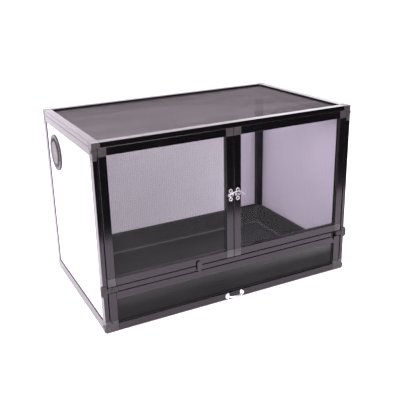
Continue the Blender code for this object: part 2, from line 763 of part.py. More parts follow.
def build_bracket(side):
    """One bracket: a round lug over the post's edge, an arm under the door and the door's lower pin."""
    name = side_name(side)
    face_y = FRONT_Y - FIT - BRACKET_FACE
    plate_inner = HALF_WIDTH - POST_STRIP + FIT
    outer = HALF_WIDTH + FIT + BRACKET_WRAP
    top = DOOR_BOTTOM + BRACKET_RISE
    bottom = top - BRACKET_HEIGHT
    back = FRONT_Y + BRACKET_REACH_BACK
    arm_low, arm_high = MID_RAIL_BOTTOM + FIT, MID_RAIL_TOP
    arm_end = HALF_WIDTH - BRACKET_ARM_INSETS[side]
    outline = bracket_outline(side, plate_inner, outer, bottom, top)
    bracket = slab_piece(f"mid_bracket_{name}", outline, face_y, back, "corner_plastic")
    pocket = mirrored_x(
        (plate_inner - CUT_PAST, FRONT_Y - FIT, bottom - CUT_PAST),
        (HALF_WIDTH + FIT, back + CUT_PAST, top + CUT_PAST),
        side,
    )
    cut(bracket, cutter_box(f"bracket_pocket_{name}", *pocket))
    arm = mirrored_x(
        (arm_end, face_y, arm_low), (HALF_WIDTH - POST_STRIP - FIT, REBATE_Y - FIT, arm_high), side
    )
    bridge = mirrored_x(
        (plate_inner - BRACKET_ARM_OVERLAP, face_y + EDGE, arm_low + EDGE),
        (plate_inner + 2 * EDGE, FRONT_Y - FIT, arm_high - EDGE),
        side,
    )
    fuse(
        bracket,
        box_piece(f"bracket_arm_{name}", *arm, "corner_plastic"),
        box_piece(f"bracket_bridge_{name}", *bridge, "corner_plastic", edge=0.0),
    )
    rail_end = HALF_WIDTH - RAIL_END_INSETS[side]
    if rail_end < arm_end:
        tongue = mirrored_x(
            (rail_end, FRONT_Y + TONGUE_SET_BACK, arm_low + TONGUE_EDGE),
            (arm_end + TONGUE_EDGE, REBATE_Y - FIT - TONGUE_EDGE, arm_high - TONGUE_EDGE),
            side,
        )
        fuse(bracket, box_piece(f"bracket_tongue_{name}", *tongue, "corner_plastic", edge=0.0))
    place = (side * PIVOT_X, PIVOT_Y, MID_RAIL_TOP)
    pin = [
        (0.0, -LEAF_GAP),
        (COLLAR_RADIUS, -LEAF_GAP),
        (COLLAR_RADIUS, LEAF_GAP - FIT),
        (PIN_RADIUS, LEAF_GAP - FIT),
        (PIN_RADIUS, PIN_DEPTH),
        (0.0, PIN_DEPTH),
    ]
    pin_name = f"lower_pin_{name}"
    fuse(bracket, turned_piece(pin_name, pin, place, 2, "corner_plastic", segments=SMALL_SEGMENTS))
    for inset in (BRACKET_SCREW_INSET, ARM_SCREW_INSET):
        screw_place = (side * (HALF_WIDTH - inset), face_y, (arm_low + arm_high) / 2)
        fuse(bracket, screw_head(f"bracket_screw_{name}_{round(inset * 1000)}", screw_place))


def button_pivot():
    """The turn button's pivot on the cross rail's front face."""
    return (BUTTON_CENTRE_X, FRONT_Y, BUTTON_PIVOT_Z)


def screw_head(name, place):
    """Makes a pan head that stands out towards the front from its seat."""
    profile = [
        (0.0, -SCREW_HEAD_HEIGHT),
        (SCREW_CROWN_RADIUS, -SCREW_HEAD_HEIGHT),
        (SCREW_HEAD_RADIUS, -SCREW_RIM_HEIGHT),
        (SCREW_HEAD_RADIUS, SCREW_HEAD_HEIGHT),
        (0.0, SCREW_HEAD_HEIGHT),
    ]
    return turned_piece(name, profile, place, 1, "corner_plastic", segments=SMALL_SEGMENTS)


def build_vent():
    """The round vent: slotted flange with its sleeve, and the raised cap in its middle."""
    centre = vent_centre()
    hole = VENT_HOLE_RADIUS - FIT
    sleeve = hole - VENT_SLEEVE_WALL
    front = -FIT - VENT_FLANGE_THICKNESS
    rim = VENT_FLANGE_RADIUS - VENT_RIM_WIDTH
    profile = [
        (0.0, front + VENT_RIM_HEIGHT),
        (rim, front + VENT_RIM_HEIGHT),
        (rim + VENT_RIM_HEIGHT, front),
        (VENT_FLANGE_RADIUS - VENT_RIM_HEIGHT, front),
        (VENT_FLANGE_RADIUS, front + VENT_RIM_HEIGHT),
        (VENT_FLANGE_RADIUS, -FIT),
        (hole, -FIT),
        (hole, VENT_SLEEVE_LENGTH),
        (sleeve, VENT_SLEEVE_LENGTH),
        (sleeve, 0.0),
        (0.0, 0.0),
    ]
    flange = turned_piece("vent_flange", profile, centre, 0, "vent_plastic", segments=VENT_SEGMENTS)
    builder = bmesh.new()
    for i in range(VENT_SLOTS):
        angle = 2 * math.pi * i / VENT_SLOTS
        outward = (math.cos(angle), math.sin(angle))
        across = (-outward[1], outward[0])
        outline = []
        for along, beside in ((0, -1), (1, -1), (1, 1), (0, 1)):
            radius = VENT_SLOT_INNER + along * VENT_SLOT_LENGTH
            half = beside * VENT_SLOT_WIDTH / 2
            outline.append(
                (
                    centre[1] + outward[0] * radius + across[0] * half,
                    centre[2] + outward[1] * radius + across[1] * half,
                )
            )
        add_prism(builder, outline, 0, centre[0] + front - CUT_PAST, centre[0] + CUT_PAST)
    cut(flange, as_cutter(add_object("vent_slots", builder, "black_sheet")))
    seat = front + VENT_RIM_HEIGHT - FIT
    cap = [
        (0.0, seat),
        (VENT_CAP_RADIUS - EDGE, seat),
        (VENT_CAP_RADIUS, seat - EDGE),
        (VENT_CAP_RADIUS, seat - VENT_CAP_THICKNESS + EDGE),
        (VENT_CAP_RADIUS - EDGE, seat - VENT_CAP_THICKNESS),
        (0.0, seat - VENT_CAP_THICKNESS),
    ]
    turned_piece("vent_cap", cap, centre, 0, "vent_plastic", segments=VENT_SEGMENTS)


def infill_box(x_low, x_high, z_low, z_high, thickness):
    """The sheet inside a leaf's frame, out to its grooves."""
    inset = LEAF_PROFILE - INFILL_BITE
    y_low = FRONT_Y + INFILL_RECESS
    return (x_low + inset, y_low, z_low + inset), (x_high - inset, y_low + thickness, z_high - inset)


def rectangle(x_low, x_high, z_low, z_high):
    """A flat rectangle seen from the front."""
    return [(x_low, z_low), (x_high, z_low), (x_high, z_high), (x_low, z_high)]


def build_leaf(name, span, height, stiles, corners, infill, parent):
    """A framed leaf: two stiles, two rails, its corner blocks and the sheet or net they hold.

    stiles and corners give a height range and a flat outline for each piece by its name, and
    infill names the sheet and its material.
    """
    (x_low, x_high), (z_low, z_high) = span, height
    infill_name, infill_material = infill
    netted = infill_material == "mesh_wire"
    thickness = MESH_THICKNESS + 2 * FIT if netted else INFILL_THICKNESS
    low, high = infill_box(x_low, x_high, z_low, z_high, thickness)
    groove = cutter_box(f"{name}_groove", low, high)
    sheet_low, sheet_high = grown(low, high, -FIT)
    if netted:
        build_net(f"{name}_{infill_name}", sheet_low, sheet_high, 1, INFILL_BITE, DOOR_MESH_GAPS, parent)
    else:
        box_piece(f"{name}_{infill_name}", sheet_low, sheet_high, infill_material, parent, edge=0.0)
    starts = (x_low, x_high - LEAF_PROFILE)
    for start, (stile_name, (bottom, top)) in zip(starts, stiles.items()):
        stile = box_piece(
            f"{name}_{stile_name}",
            (start, FRONT_Y, bottom),
            (start + LEAF_PROFILE, LEAF_BACK_Y, top),
            "black_aluminium",
            parent,
        )
        cut(stile, groove)
    rail_x = (x_low + LEAF_PROFILE + FIT, x_high - LEAF_PROFILE - FIT)
    for rail_name, start in (("bottom_rail", z_low), ("top_rail", z_high - LEAF_PROFILE)):
        rail = box_piece(
            f"{name}_{rail_name}",
            (rail_x[0], FRONT_Y, start),
            (rail_x[1], LEAF_BACK_Y, start + LEAF_PROFILE),
            "black_aluminium",
            parent,
        )
        cut(rail, groove)
    blocks = {}
    for corner_name, outline in corners.items():
        blocks[corner_name] = prism_piece(
            f"{name}_{corner_name}", [outline], 1, FRONT_Y, LEAF_BACK_Y, "corner_plastic", parent
        )
        cut(blocks[corner_name], groove)
    return blocks


def build_door(side):
    """One door on its pivot, with its pin bores: the left one holds a mesh, the right one a clear sheet."""
    name = side_name(side)
    hinge = make_empty(f"{name}_door_hinge", (side * PIVOT_X, PIVOT_Y, DOOR_BOTTOM))
    span = sorted((side * LEAF_OUTER_X, side * MEETING_GAP / 2))
    ends = [("outer", (span[0], span[0] + LEAF_PROFILE)), ("meeting", (span[1] - LEAF_PROFILE, span[1]))]
    if side > 0:
        ends = [("meeting", ends[0][1]), ("outer", ends[1][1])]
    levels = {"bottom": (DOOR_BOTTOM, DOOR_BOTTOM + LEAF_PROFILE), "top": (DOOR_TOP - LEAF_PROFILE, DOOR_TOP)}
    stiles = {f"{end}_stile": (levels["bottom"][1] + FIT, levels["top"][0] - FIT) for end, _ in ends}
    corners = {
        f"{level}_{end}_corner": rectangle(*x_range, *z_range)
        for end, x_range in ends
        for level, z_range in levels.items()
    }
    infill = ("mesh", "mesh_wire") if side < 0 else ("glazing", "clear_glazing")
    blocks = build_leaf(f"{name}_door", span, (DOOR_BOTTOM, DOOR_TOP), stiles, corners, infill, hinge)
    for level, base in (("bottom", DOOR_BOTTOM), ("top", DOOR_TOP)):
        place = (side * PIVOT_X, PIVOT_Y, base)
        bore = cutter_round(f"{name}_door_{level}_bore", place, 2, PIN_HOLE_RADIUS, -PIN_DEPTH, PIN_DEPTH)
        cut(blocks[f"{level}_outer_corner"], bore)
    cut(blocks["top_outer_corner"], pivot_rounding(side))
    return hinge


def pivot_rounding(side):
    """Clears a door corner's front outer edge back to a round about the pivot."""
    outline = [(LEAF_OUTER_X + CUT_PAST, PIVOT_Y), (LEAF_OUTER_X + CUT_PAST, FRONT_Y - CUT_PAST)]
    outline.append((PIVOT_X, FRONT_Y - CUT_PAST))
    for i in range(PIVOT_STEPS + 1):
        angle = math.pi / 2 * (i / PIVOT_STEPS - 1)
        outline.append((PIVOT_X + PIVOT_INSET * math.cos(angle), PIVOT_Y + PIVOT_INSET * math.sin(angle)))
    builder = bmesh.new()
    low, high = DOOR_TOP - LEAF_PROFILE - CUT_PAST, DOOR_TOP + CUT_PAST
    add_prism(builder, [(side * x, y) for x, y in outline], 2, low, high)
    return as_cutter(add_object(f"pivot_rounding_{side_name(side)}", builder, "black_sheet"))


def lobe_chain(centre_x, centre_z, half_height, lobes):
    """Outline of a row of joined round lobes, one above the other.

    Each lobe is (height of its middle, half width, half height), and the outline's half
    width at a height is the widest lobe's there.
    """
    heights = [-half_height * math.cos(math.pi * i / LOBE_STEPS) for i in range(LOBE_STEPS + 1)]

    def half_width(z):
        widths = [0.0]
        for middle, wide, tall in lobes:
            inside = 1 - ((z - middle) / tall) ** 2
            if inside > 0:
                widths.append(wide * math.sqrt(inside))
        return max(widths)

    right = [(centre_x + half_width(z), centre_z + z) for z in heights[1:-1]]
    left = [(centre_x - half_width(z), centre_z + z) for z in reversed(heights[1:-1])]
    bottom = (centre_x, centre_z - half_height)
    top = (centre_x, centre_z + half_height)
    return [bottom, *right, top, *left]


def smooth_path(points, steps):
    """Points along a Catmull-Rom curve through the given points."""
    padded = [points[0], *points, points[-1]]
    path = []
    for a, b, c, d in zip(padded, padded[1:], padded[2:], padded[3:]):
        for i in range(steps):
            t = i / steps
            place = []
            for p, q, r, s in zip(a, b, c, d):
                value = 2 * q + (r - p) * t + (2 * p - 5 * q + 4 * r - s) * t**2
                place.append((value + (3 * q - p - 3 * r + s) * t**3) / 2)
            path.append(tuple(place))
    return [*path, points[-1]]


def ribbon(path, half_width, taper):
    """Outline of a flat strip along a path, which loses the taper's share of its width at the end."""
    left, right = [], []
    for i, (x, z) in enumerate(path):
        before = path[max(i - 1, 0)]
        after = path[min(i + 1, len(path) - 1)]
        run = math.hypot(after[0] - before[0], after[1] - before[1])
        across = (-(after[1] - before[1]) / run, (after[0] - before[0]) / run)
        share = i / (len(path) - 1)
        half = half_width * (1 - taper * share**2)
        left.append((x + across[0] * half, z + across[1] * half))
        right.append((x - across[0] * half, z - across[1] * half))
    return left + list(reversed(right))


def build_latch(left_hinge, right_hinge):
    """The hook latch: a stud plate on the left door, a peg plate on the right, and the hook."""
    half_height = LATCH_PLATE_HEIGHT / 2
    lobes = [(0.0, LATCH_PLATE_WIDTH / 2, LATCH_MIDDLE_LOBE)]
    for end in (-1, 1):
        lobes.append((end * (half_height - LATCH_END_LOBE), LATCH_END_LOBE_WIDTH / 2, LATCH_END_LOBE))
    plates = {}
    for side, hinge in ((-1, left_hinge), (1, right_hinge)):
        centre_x = -side * LATCH_PIVOT_X
        outline = lobe_chain(centre_x, LATCH_HEIGHT, half_height, lobes)
        plate = prism_piece(
            f"latch_plate_{side_name(side)}", [outline], 1, LATCH_FACE_Y, FRONT_Y - FIT, "silver_metal", hinge
        )
        for end in (-1, 1):
            place = (centre_x, LATCH_FACE_Y, LATCH_HEIGHT + end * LATCH_HOLE_SPACING / 2)
            name = f"plate_hole_{side_name(side)}_{end + 1}"
            span = (-CUT_PAST, LATCH_PLATE_THICKNESS + CUT_PAST)
            cut(plate, cutter_round(name, place, 1, LATCH_STUD_RADIUS, *span))
        plates[side] = plate
    neck = HOOK_THICKNESS + 2 * HOOK_PLAY
    stud = [
        (0.0, LATCH_PLATE_THICKNESS / 2),
        (LATCH_STUD_RADIUS, LATCH_PLATE_THICKNESS / 2),
        (LATCH_STUD_RADIUS, -neck),
        (LATCH_HEAD_RADIUS, -neck),
        (LATCH_HEAD_CROWN, -neck - LATCH_HEAD_THICKNESS),
        (0.0, -neck - LATCH_HEAD_THICKNESS),
    ]
    pivot = (LATCH_PIVOT_X, LATCH_FACE_Y, LATCH_HEIGHT)
    fuse(plates[-1], turned_piece("latch_stud", stud, pivot, 1, "silver_metal", segments=SMALL_SEGMENTS))
    peg_place = (-LATCH_PIVOT_X, LATCH_FACE_Y, PEG_Z)
    peg = [
        (0.0, LATCH_PLATE_THICKNESS / 2),
        (PEG_RADIUS, LATCH_PLATE_THICKNESS / 2),
        (PEG_RADIUS, -PEG_REACH + PEG_RADIUS / 2),
        (PEG_RADIUS / 2, -PEG_REACH),
        (0.0, -PEG_REACH),
    ]
    fuse(plates[1], turned_piece("latch_peg", peg, peg_place, 1, "silver_metal", segments=SMALL_SEGMENTS))
    build_hook()


def build_hook():
    """The hook on its own pivot: its route runs in shares of the stud-to-peg span and the crown's rise."""
    pivot = make_empty("latch_hook_pivot", (LATCH_PIVOT_X, HOOK_BACK_Y, LATCH_HEIGHT))
    span = -2 * LATCH_PIVOT_X
    route = [(LATCH_PIVOT_X + x * span, LATCH_HEIGHT + z * HOOK_CROWN_RISE) for x, z in HOOK_ROUTE]
    outline = ribbon(smooth_path(route, ROUTE_STEPS), HOOK_HALF_WIDTH, HOOK_TAPER)
    front_y = HOOK_BACK_Y - HOOK_THICKNESS
    hook = prism_piece("latch_hook", [outline], 1, front_y, HOOK_BACK_Y, "silver_metal", pivot)
    eye = [(0.0, 0.0), (HOOK_EYE_RADIUS, 0.0), (HOOK_EYE_RADIUS, -HOOK_THICKNESS), (0.0, -HOOK_THICKNESS)]
    place = (LATCH_PIVOT_X, HOOK_BACK_Y, LATCH_HEIGHT)
    fuse(hook, turned_piece("hook_eye", eye, place, 1, "silver_metal", segments=ROUND_SEGMENTS))
    bore = LATCH_STUD_RADIUS + HOOK_EYE_CLEARANCE
    span_y = (-HOOK_THICKNESS - CUT_PAST, CUT_PAST)
    cut(hook, cutter_round("hook_bore", place, 1, bore, *span_y, ROUND_SEGMENTS))


def build_turn_button():
    """The oval turn button over the seam between the left door and the cross rail."""
    pivot = button_pivot()
    empty = make_empty("turn_button_pivot", pivot)
    back = FRONT_Y - BUTTON_STANDOFF
    front = back - BUTTON_THICKNESS
    radius = BUTTON_WIDTH / 2
    upper = pivot[2] + BUTTON_LENGTH - BUTTON_WIDTH
    outline = []
    for middle, start in ((upper, 0.0), (pivot[2], math.pi)):
        for i in range(SMALL_SEGMENTS + 1):
            angle = start + math.pi * i / SMALL_SEGMENTS
            outline.append((pivot[0] + radius * math.cos(angle), middle + radius * math.sin(angle)))
    button = slab_piece("turn_button", outline, front, back, "button_plastic", empty)
    boss = [
        (0.0, -BUTTON_THICKNESS / 2 - BUTTON_STANDOFF),
        (BUTTON_BOSS_RADIUS, -BUTTON_THICKNESS / 2 - BUTTON_STANDOFF),
        (BUTTON_BOSS_RADIUS, -FIT),
        (BUTTON_STUD_RADIUS, -FIT),
        (BUTTON_STUD_RADIUS, BUTTON_STUD_LENGTH),
        (0.0, BUTTON_STUD_LENGTH),
    ]
    fuse(button, turned_piece("button_boss", boss, pivot, 1, "button_plastic", segments=ROUND_SEGMENTS))


def rounded_rectangle(half_x, y_low, y_high, radius):
    """A level rectangle with round corners, as points in order."""
    points = []
    corners = (
        (half_x - radius, y_high - radius, 0.0),
        (-half_x + radius, y_high - radius, math.pi / 2),
        (-half_x + radius, y_low + radius, math.pi),
        (half_x - radius, y_low + radius, 1.5 * math.pi),
    )
    for centre_x, centre_y, start in corners:
        for i in range(CORNER_STEPS + 1):
            angle = start + math.pi / 2 * i / CORNER_STEPS
            points.append((centre_x + radius * math.cos(angle), centre_y + radius * math.sin(angle)))
    return points


def build_tray(parent):
    """The black formed tray: tapered walls, round corners and a flat lip."""
    lip = (TRAY_HALF_WIDTH, LEAF_BACK_Y + FIT, REAR_Y - TRAY_REAR_GAP)
    lip_under = TRAY_RIM - TRAY_WALL

    def ring(inset, z):
        radius = TRAY_CORNER_RADIUS - inset / 2
        outline = rounded_rectangle(lip[0] - inset, lip[1] + inset, lip[2] - inset, radius)
        return [builder.verts.new((x, y, z)) for x, y in outline]

    builder = bmesh.new()
    rings = [
        ring(TRAY_LIP + TRAY_TAPER, TRAY_UNDERSIDE),
        ring(TRAY_LIP, lip_under),
        ring(0.0, lip_under),
        ring(0.0, TRAY_RIM),
        ring(TRAY_LIP + TRAY_WALL, TRAY_RIM),
        ring(TRAY_LIP + TRAY_TAPER + TRAY_WALL, TRAY_UNDERSIDE + TRAY_WALL),
    ]
    for lower, upper in zip(rings, rings[1:]):
        for i, corner in enumerate(lower):
            following = (i + 1) % len(lower)
            builder.faces.new((corner, lower[following], upper[following], upper[i]))
    builder.faces.new(rings[0])
    builder.faces.new(rings[-1])
    tray = add_object("drawer_tray", builder, "tray_plastic", parent, smooth=True)
    half = TRAY_HALF_WIDTH - TRAY_UPSTAND_INSET
    low = (-half, lip[1], lip_under)
    high = (half, lip[1] + TRAY_WALL, TRAY_UPSTAND_TOP)
    fuse(tray, box_piece("tray_upstand", low, high, "tray_plastic", edge=0.0))


def drawer_corner_outline(side):
    """The drawer's bottom corner, whose lug reaches under the front post's slanted foot."""
    inner = LEAF_OUTER_X - LEAF_PROFILE
    outer = HALF_WIDTH - FIT
    past = HALF_WIDTH + DRAWER_LUG_REACH
    lug_low, lug_high = DRAWER_LUG_SPAN
    right = [
        (inner, DRAWER_BOTTOM),
        (outer, DRAWER_BOTTOM),
        (outer, lug_low - DRAWER_LUG_SLOPE),
        (past, lug_low),
        (past, lug_high),
        (outer, lug_high + DRAWER_LUG_SLOPE),
        (outer, lug_line(outer, 0.0)),
        (LEAF_OUTER_X, lug_line(LEAF_OUTER_X, 0.0)),
        (inner, lug_line(LEAF_OUTER_X, 0.0)),
    ]
    return [(side * x, z) for x, z in right]


def build_drawer():
    """The drawer: its framed front, tray and handle."""
    slide = make_empty("drawer_slide", (0.0, FRONT_Y, DRAWER_BOTTOM))
    stile_range = (DRAWER_BOTTOM + DRAWER_CORNER_HEIGHT + FIT, DRAWER_TOP)
    blocks = build_leaf(
        "drawer",
        (-LEAF_OUTER_X, LEAF_OUTER_X),
        (DRAWER_BOTTOM, DRAWER_TOP),
        {"left_stile": stile_range, "right_stile": stile_range},
        {"left_corner": drawer_corner_outline(-1), "right_corner": drawer_corner_outline(1)},
        ("panel", "black_sheet"),
        slide,
    )
    for side in (-1, 1):
        name = side_name(side)
        place = (side * (HALF_WIDTH - DRAWER_SCREW_INSET), FRONT_Y, DRAWER_BOTTOM + DRAWER_SCREW_RISE)
        fuse(blocks[f"{name}_corner"], screw_head(f"drawer_screw_{name}", place))
        cut(blocks[f"{name}_corner"], socket_cutter(side))
    cut(bpy.data.objects["drawer_top_rail"], notch_cutter())
    build_tray(slide)
    build_handle(slide)


def notch_cutter():
    """The slanted recess in the face of the drawer's top rail, at its right end."""
    inner = LEAF_OUTER_X - LEAF_PROFILE
    outline = [
        (inner + CUT_PAST, DRAWER_TOP + CUT_PAST),
        (inner - DRAWER_NOTCH_WIDTH, DRAWER_TOP + CUT_PAST),
        (inner - DRAWER_NOTCH_WIDTH, DRAWER_TOP),
        (inner - EDGE, DRAWER_TOP - DRAWER_NOTCH_HEIGHT),
        (inner + CUT_PAST, DRAWER_TOP - DRAWER_NOTCH_HEIGHT),
    ]
    builder = bmesh.new()
    add_prism(builder, outline, 1, FRONT_Y - CUT_PAST, FRONT_Y + DRAWER_NOTCH_DEPTH)
    return as_cutter(add_object("drawer_notch", builder, "black_sheet"))


def socket_cutter(side):
    """The square socket in the face of a drawer corner."""
    middle = HALF_WIDTH - DRAWER_SOCKET_INSET
    top = DRAWER_BOTTOM + DRAWER_CORNER_HEIGHT - DRAWER_SOCKET_DROP + DRAWER_SOCKET / 2
    low, high = mirrored_x(
        (middle - DRAWER_SOCKET / 2, FRONT_Y - CUT_PAST, top - DRAWER_SOCKET),
        (middle + DRAWER_SOCKET / 2, FRONT_Y + DRAWER_SOCKET_DEPTH, top),
        side,
    )
    return cutter_box(f"drawer_socket_{side_name(side)}", low, high)


def build_handle(parent):
    """The bow handle: two lobed leaves on the bottom rail, joined by a bowed grip."""
    leaf_x = HANDLE_SPAN / 2 - HANDLE_LEAF_WIDTH / 2
    back = FRONT_Y - FIT
    face = back - HANDLE_LEAF_THICKNESS
    leaves = []
    for side in (-1, 1):
        outline = []
        for i in range(ROUND_SEGMENTS):
            angle = 2 * math.pi * i / ROUND_SEGMENTS
            swell = (1 + HANDLE_LEAF_SWELL * math.cos(HANDLE_LEAF_LOBES * angle)) / (1 + HANDLE_LEAF_SWELL)
            x = side * (leaf_x + swell * HANDLE_LEAF_WIDTH / 2 * math.cos(angle))
            outline.append((x, HANDLE_Z + swell * HANDLE_LEAF_HEIGHT / 2 * math.sin(angle)))
        leaves.append(outline)
    handle = prism_piece("drawer_handle", leaves, 1, face, back, "silver_metal", parent)
    half_span = HANDLE_SPAN / 2 - 2 * HANDLE_BOW_INSET
    reach = HANDLE_REACH - HANDLE_WIRE_RADIUS - (FRONT_Y - back) - HANDLE_LEAF_THICKNESS / 2
    start = back - HANDLE_LEAF_THICKNESS / 2
    builder = bmesh.new()
    rings = []
    for i in range(ROUND_SEGMENTS + 1):
        angle = math.pi * i / ROUND_SEGMENTS
        out = reach * math.sin(angle) ** HANDLE_BOW_FULLNESS
        middle = Vector((-half_span * math.cos(angle), start - out, HANDLE_Z))
        outward = Vector((-reach * math.cos(angle), -half_span * math.sin(angle), 0.0)).normalized()
        ring = []
        for j in range(WIRE_SEGMENTS):
            turn = 2 * math.pi * j / WIRE_SEGMENTS
            spoke = outward * math.cos(turn) + Vector((0.0, 0.0, 1.0)) * math.sin(turn)
            ring.append(builder.verts.new(middle + spoke * HANDLE_WIRE_RADIUS))
        rings.append(ring)
    for lower, upper in zip(rings, rings[1:]):
        for j in range(WIRE_SEGMENTS):
            k = (j + 1) % WIRE_SEGMENTS
            builder.faces.new((lower[j], lower[k], upper[k], upper[j]))
    builder.faces.new(rings[0])
    builder.faces.new(list(reversed(rings[-1])))
    fuse(handle, add_object("handle_bow", builder, "silver_metal", smooth=True))


def main():
    """Builds the enclosure piece by piece."""
    clear_scene()
    grooves = build_panels()
    slot = build_mesh_top()
    build_posts(grooves, slot)
    build_rails(grooves, slot)
    build_mid_rail()
    build_vent()
    left_hinge = build_door(-1)
    right_hinge = build_door(1)
    build_latch(left_hinge, right_hinge)
    build_turn_button()
    build_drawer()


main()
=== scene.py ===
"""Looks of a framed reptile enclosure: finishes, fine wire mesh, small trims, studio and camera.

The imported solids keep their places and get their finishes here. What the solids leave plain, such
as the fine wires, the tray's rounded folds and the seals, is modelled over them from their own
boxes. Metres, +Z up, the doors face -Y.
"""

import logging
import math
from dataclasses import dataclass, replace
from enum import Enum
from typing import Any, Sequence

import bpy
import numpy as np
from mathutils import Matrix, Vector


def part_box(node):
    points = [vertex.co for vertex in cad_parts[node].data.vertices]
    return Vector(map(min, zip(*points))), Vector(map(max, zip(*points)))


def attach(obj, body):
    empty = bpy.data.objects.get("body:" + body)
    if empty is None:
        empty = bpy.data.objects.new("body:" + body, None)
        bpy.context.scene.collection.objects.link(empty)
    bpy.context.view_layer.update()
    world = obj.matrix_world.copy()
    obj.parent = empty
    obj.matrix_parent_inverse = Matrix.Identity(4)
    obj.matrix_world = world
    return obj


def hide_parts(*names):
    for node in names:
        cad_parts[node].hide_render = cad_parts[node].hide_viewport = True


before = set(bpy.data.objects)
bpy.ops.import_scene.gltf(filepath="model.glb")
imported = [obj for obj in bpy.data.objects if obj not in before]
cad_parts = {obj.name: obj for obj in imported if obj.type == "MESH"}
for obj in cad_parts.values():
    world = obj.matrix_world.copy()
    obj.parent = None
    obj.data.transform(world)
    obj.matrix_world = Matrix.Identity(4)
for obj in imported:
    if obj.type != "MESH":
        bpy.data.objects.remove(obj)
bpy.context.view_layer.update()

LOG = logging.getLogger("enclosure")
SIDES = ("left", "right")
SMOOTH_ANGLE = math.radians(35)
EDGE_RANGE = (0.01, 0.25)
FLOW_RANGE = (0.3, 0.7)
TUBE_SIDES = 8
WIRE_SIDES = 6
CORNER_STEPS = 3
BEAD_CORNER = 0.002
STEEP = 0.9
HEAD_ROWS, HEAD_COLUMNS = 9, 32
# A cross recess in shares of its head's radius: half a bar's width, its soft edge, its reach, its soft end
CROSS_BAR, CROSS_EDGE, CROSS_REACH, CROSS_END = 0.24, 0.10, 0.72, 0.12

Colour = tuple[float, float, float]
Point = tuple[float, float, float]
Span = tuple[float, float]
Shape = tuple[np.ndarray, list[list[int]]]
Material = bpy.types.Material
Piece = bpy.types.Object


class Grain(Enum):
    """The axis that a bar's draw lines run along."""

    ALONG_X = 0
    ALONG_Y = 1
    ALONG_Z = 2


class Value:
    """An output socket, on which Python's operators add Math nodes."""

    def __init__(self, nodes: "Nodes", socket: bpy.types.NodeSocket) -> None:
        """Wraps a socket of the given node tree."""
        self.nodes = nodes
        self.socket = socket

    def maths(self, operation: str, *numbers: "Value | float") -> "Value":
        """Adds one Math node with its inputs in order."""
        return self.nodes.add("ShaderNodeMath", {"operation": operation}, dict(enumerate(numbers)))

    def __add__(self, other: "Value | float") -> "Value":
        """Sum."""
        return self.maths("ADD", self, other)

    __radd__ = __add__

    def __sub__(self, other: "Value | float") -> "Value":
        """Difference."""
        return self.maths("SUBTRACT", self, other)

    def __rsub__(self, other: float) -> "Value":
        """Difference from a number."""
        return self.maths("SUBTRACT", other, self)

    def __mul__(self, other: "Value | float") -> "Value":
        """Product."""
        return self.maths("MULTIPLY", self, other)

    __rmul__ = __mul__

    def __pow__(self, other: float) -> "Value":
        """Power."""
        return self.maths("POWER", self, other)

    def between(self, low: float, high: float) -> "Value":
        """Maps the range low to high onto 0 to 1, clamped and eased at both ends."""
        settings = {"interpolation_type": "SMOOTHSTEP"}
        return self.nodes.add("ShaderNodeMapRange", settings, {0: self, 1: low, 2: high, 3: 0.0, 4: 1.0})


